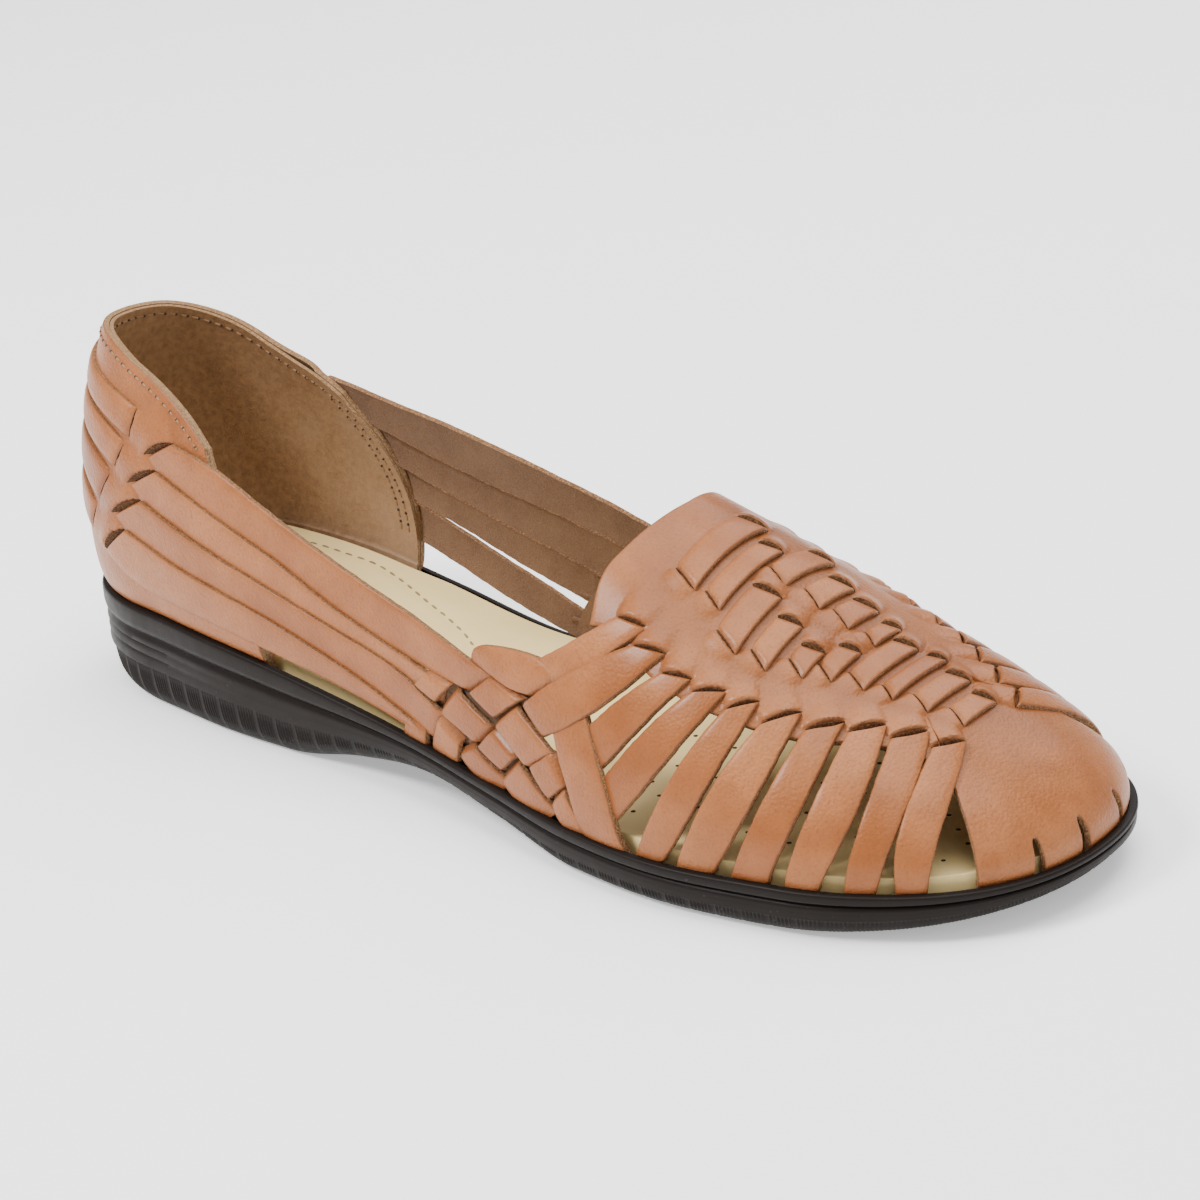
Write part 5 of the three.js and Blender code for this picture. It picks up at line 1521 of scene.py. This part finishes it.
def cap_rows():
    """Each row as the slit it follows or None, and its place beyond that slit's side."""
    rows = []
    for k, (place, _) in enumerate(CAP_SLITS):
        for side in (-1, 1):
            rows += [(place + side * SLIT_HALF, k, side, 0.0)]
            rows += [(place + side * (SLIT_HALF + r), k, side, side * r) for r in ROUNDING]
    taken = np.array([r[0] for r in rows])
    plain = np.arange(CAP_SIDE, 2 - CAP_SIDE, ROW_PITCH)
    centres = np.array([place for place, _ in CAP_SLITS])
    free = [q for q in plain[2:-1]
            if np.abs(taken - q).min() > ROW_GAP and np.abs(centres - q).min() > SLIT_HALF]
    ends = [CAP_SIDE, *(CAP_SIDE + ROUNDING), *(2 - CAP_SIDE - ROUNDING), 2 - CAP_SIDE]
    rows += [(q, None, 0, 0.0) for q in [*free, *ends]]
    return sorted(rows, key=lambda r: r[0])


def cap_places(rows, shares):
    """The q of every row at every share: rows beside a slit close up towards its top."""
    q = np.zeros((len(rows), len(shares)))
    for i, (place, k, side, beyond) in enumerate(rows):
        if k is None:
            q[i] = place
            continue
        centre, top_share = CAP_SLITS[k]
        stops = top_share * np.array([0, 0.5, 0.8, 0.93, 1.0, 1.2, 1.6])
        taper = np.interp(shares, stops, [1.25, 1.05, 0.9, 0.65, 0.3, 0.6, 0.9])
        q[i] = centre + side * SLIT_HALF * taper + beyond
    return q


rows = cap_rows()
print(len(rows), "rows round the cap,", sum(r[1] is not None for r in rows), "of them beside slits")

# %% [markdown]
# The skirt has the gaps, and the grid over the toes goes on from its upper edge, so both take their rows
# from the same list. The three grids meet point by point and are welded into one skin.

# %% Cap with its slits
skirt_share = np.concatenate([BELOW_RIM, np.linspace(0, CAP_SHOULDER, 42)])
keep = np.ones((len(rows) - 1, len(skirt_share) - 1), bool)
for i, (_, k, side, beyond) in enumerate(rows[:-1]):
    if k is not None and side < 0 and beyond == 0.0:
        keep[i] = (skirt_share[:-1] + skirt_share[1:]) / 2 > CAP_SLITS[k][1]
skirt_q = cap_places(rows, skirt_share)
skirt = vamp_sheet(skirt_q, skirt_share[None, :] + 0 * skirt_q, keep)

side_q = np.linspace(TOE_LINE, CAP_SIDE, 44)[:-1]
side_share = read(VAMP_EDGE, "g", side_q)[:, None]
side_g = side_share + (1 - side_share) * toward_ridge[None, :]
fan_g = CAP_SHOULDER + (1 - CAP_SHOULDER) * toward_ridge[None, :]
fan_q = cap_places(rows, np.full(len(toward_ridge), CAP_SHOULDER))
toe_q = np.concatenate([side_q[:, None] + 0 * side_g, fan_q, 2 - side_q[::-1, None] + 0 * side_g])
toe_g = np.concatenate([side_g, fan_g + 0 * fan_q, side_g[::-1]])
toe = vamp_sheet(toe_q, toe_g)
make_piece("vamp", [shell([body, toe, skirt], LEATHER)])
vamp_crescents = [slit.crescent() for slit in vamp_slits]
# the crescents are painted dark as the shade inside the slits
vamp_lips = make_piece("vamp_slits", vamp_crescents, (shaded_slit_edge,) * 3)
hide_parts("upper")

# %% [markdown]
# ## Stitches
#
# A row of stitches runs round the collar, three millimetres below its edge, on the leather and on the
# lining. The inner front edge of the counter has two rows, and a seam closes the leather at the middle of
# the heel. Each row is a line on the chart with a thread at an even pitch and a pinhole between threads,
# drawn as a dark dot of painted shade.

# %% Stitch lines
STITCH_PITCH, COLLAR_MARGIN = 2.6, 0.024
ON_LEATHER = 0.05  # height of a thread's middle over the leather, in mm
ON_LINING = -(COUNTER_LEATHER + LAYER_GAP + LINING_WALL + 0.04)
leather_lines, lining_lines = [], []


def on_chart(q, g, side, lift):
    g = np.where(side < 0, g, 2 - g)
    return last_point(q, g) + last_normal(q, g) * lift


for side, reach in ((-1, 0.236), (1, 0.216)):
    q = np.linspace(0.0, reach, 90)
    g = collar_share(side, q) - COLLAR_MARGIN
    leather_lines.append(on_chart(q, g, side, ON_LEATHER))
    lining_lines.append(on_chart(q, g, side, ON_LINING))
    front = np.array(side_of(side)[0])
    t = np.linspace(0.22, 0.93, 60)
    edge = along(front, t)
    for margin in (0.008, 0.016) if side > 0 else ():
        lining_lines.append(on_chart(edge[:, 0] - margin, edge[:, 1], side, ON_LINING))
        leather_lines.append(on_chart(edge[:, 0] - margin, edge[:, 1], side, ON_LEATHER))
    seam_g = np.linspace(0.03, 0.17, 30)
    leather_lines.append(on_chart(np.full(30, 0.007), seam_g, side, ON_LEATHER))
repeat("collar_stitches", row, leather_lines + lining_lines, {
    "Pitch": STITCH_PITCH * MM, "Size": (0.26 * MM, 0.26 * MM, 0.95 * MM), "Finish": thread.material})
shifted = [line[2:] for line in leather_lines + lining_lines]
# the holes between threads are dark dots of painted shade
repeat("stitch_hole_shades", row, shifted, {
    "Pitch": STITCH_PITCH * MM, "Size": (0.34 * MM, 0.34 * MM, 0.34 * MM), "Finish": hole_shade.material})

# %% [markdown]
# ## Floor and light
#
# The shoe stands on a plain pale floor in soft studio light: a key light from the outer side of the heel,
# a large one overhead, a weak one in front of the toes and one behind that draws the edges. The floor is
# a sheet of paper that glows a little, as a lit table does, so that it stays pale while the leather keeps
# its colour.

# %% Floor and lights
FLOOR = 4.0  # half the floor's side, in metres
floor_mesh = bpy.data.meshes.new("floor")
corners = [(-FLOOR, -FLOOR, 0), (FLOOR, -FLOOR, 0), (FLOOR, FLOOR, 0), (-FLOOR, FLOOR, 0)]
floor_mesh.from_pydata(corners, [], [(0, 1, 2, 3)])
floor = placed("floor", floor_mesh)
paper = Finish("white paper", Roughness=0.9, Emission_Color=(1.0, 1.0, 1.0, 1.0),
               Emission_Strength=0.45)
paper.paint(Base_Color=paper.blend(paper.noise(300, 2), (0.94, 0.94, 0.94), (0.955, 0.955, 0.955)))
floor_mesh.materials.append(paper.material)

world = bpy.data.worlds.new("studio")
world.use_nodes = True
world.node_tree.nodes["Background"].inputs["Color"].default_value = (1, 1, 1, 1)
world.node_tree.nodes["Background"].inputs["Strength"].default_value = 0.48
bpy.context.scene.world = world
LIGHTS = [
    ("key", (-0.45, -0.75, 1.05), 0.42, 19.0),
    ("front", (0.85, -0.35, 0.8), 0.9, 3.0),
    ("back", (-0.1, 0.9, 0.9), 0.8, 6.0),
    ("overhead", (0.1, 0.1, 1.5), 1.4, 30.0),
]
for name, place, size, power in LIGHTS:
    lamp = bpy.data.lights.new(name, "AREA")
    lamp.shape, lamp.size, lamp.energy = "DISK", size, power
    holder = placed(name, lamp)
    holder.location = place
    holder.rotation_euler = (Vector((0, 0, 0.03)) - Vector(place)).to_track_quat("-Z", "Y").to_euler()
print("lights", [name for name, *_ in LIGHTS])

# %% [markdown]
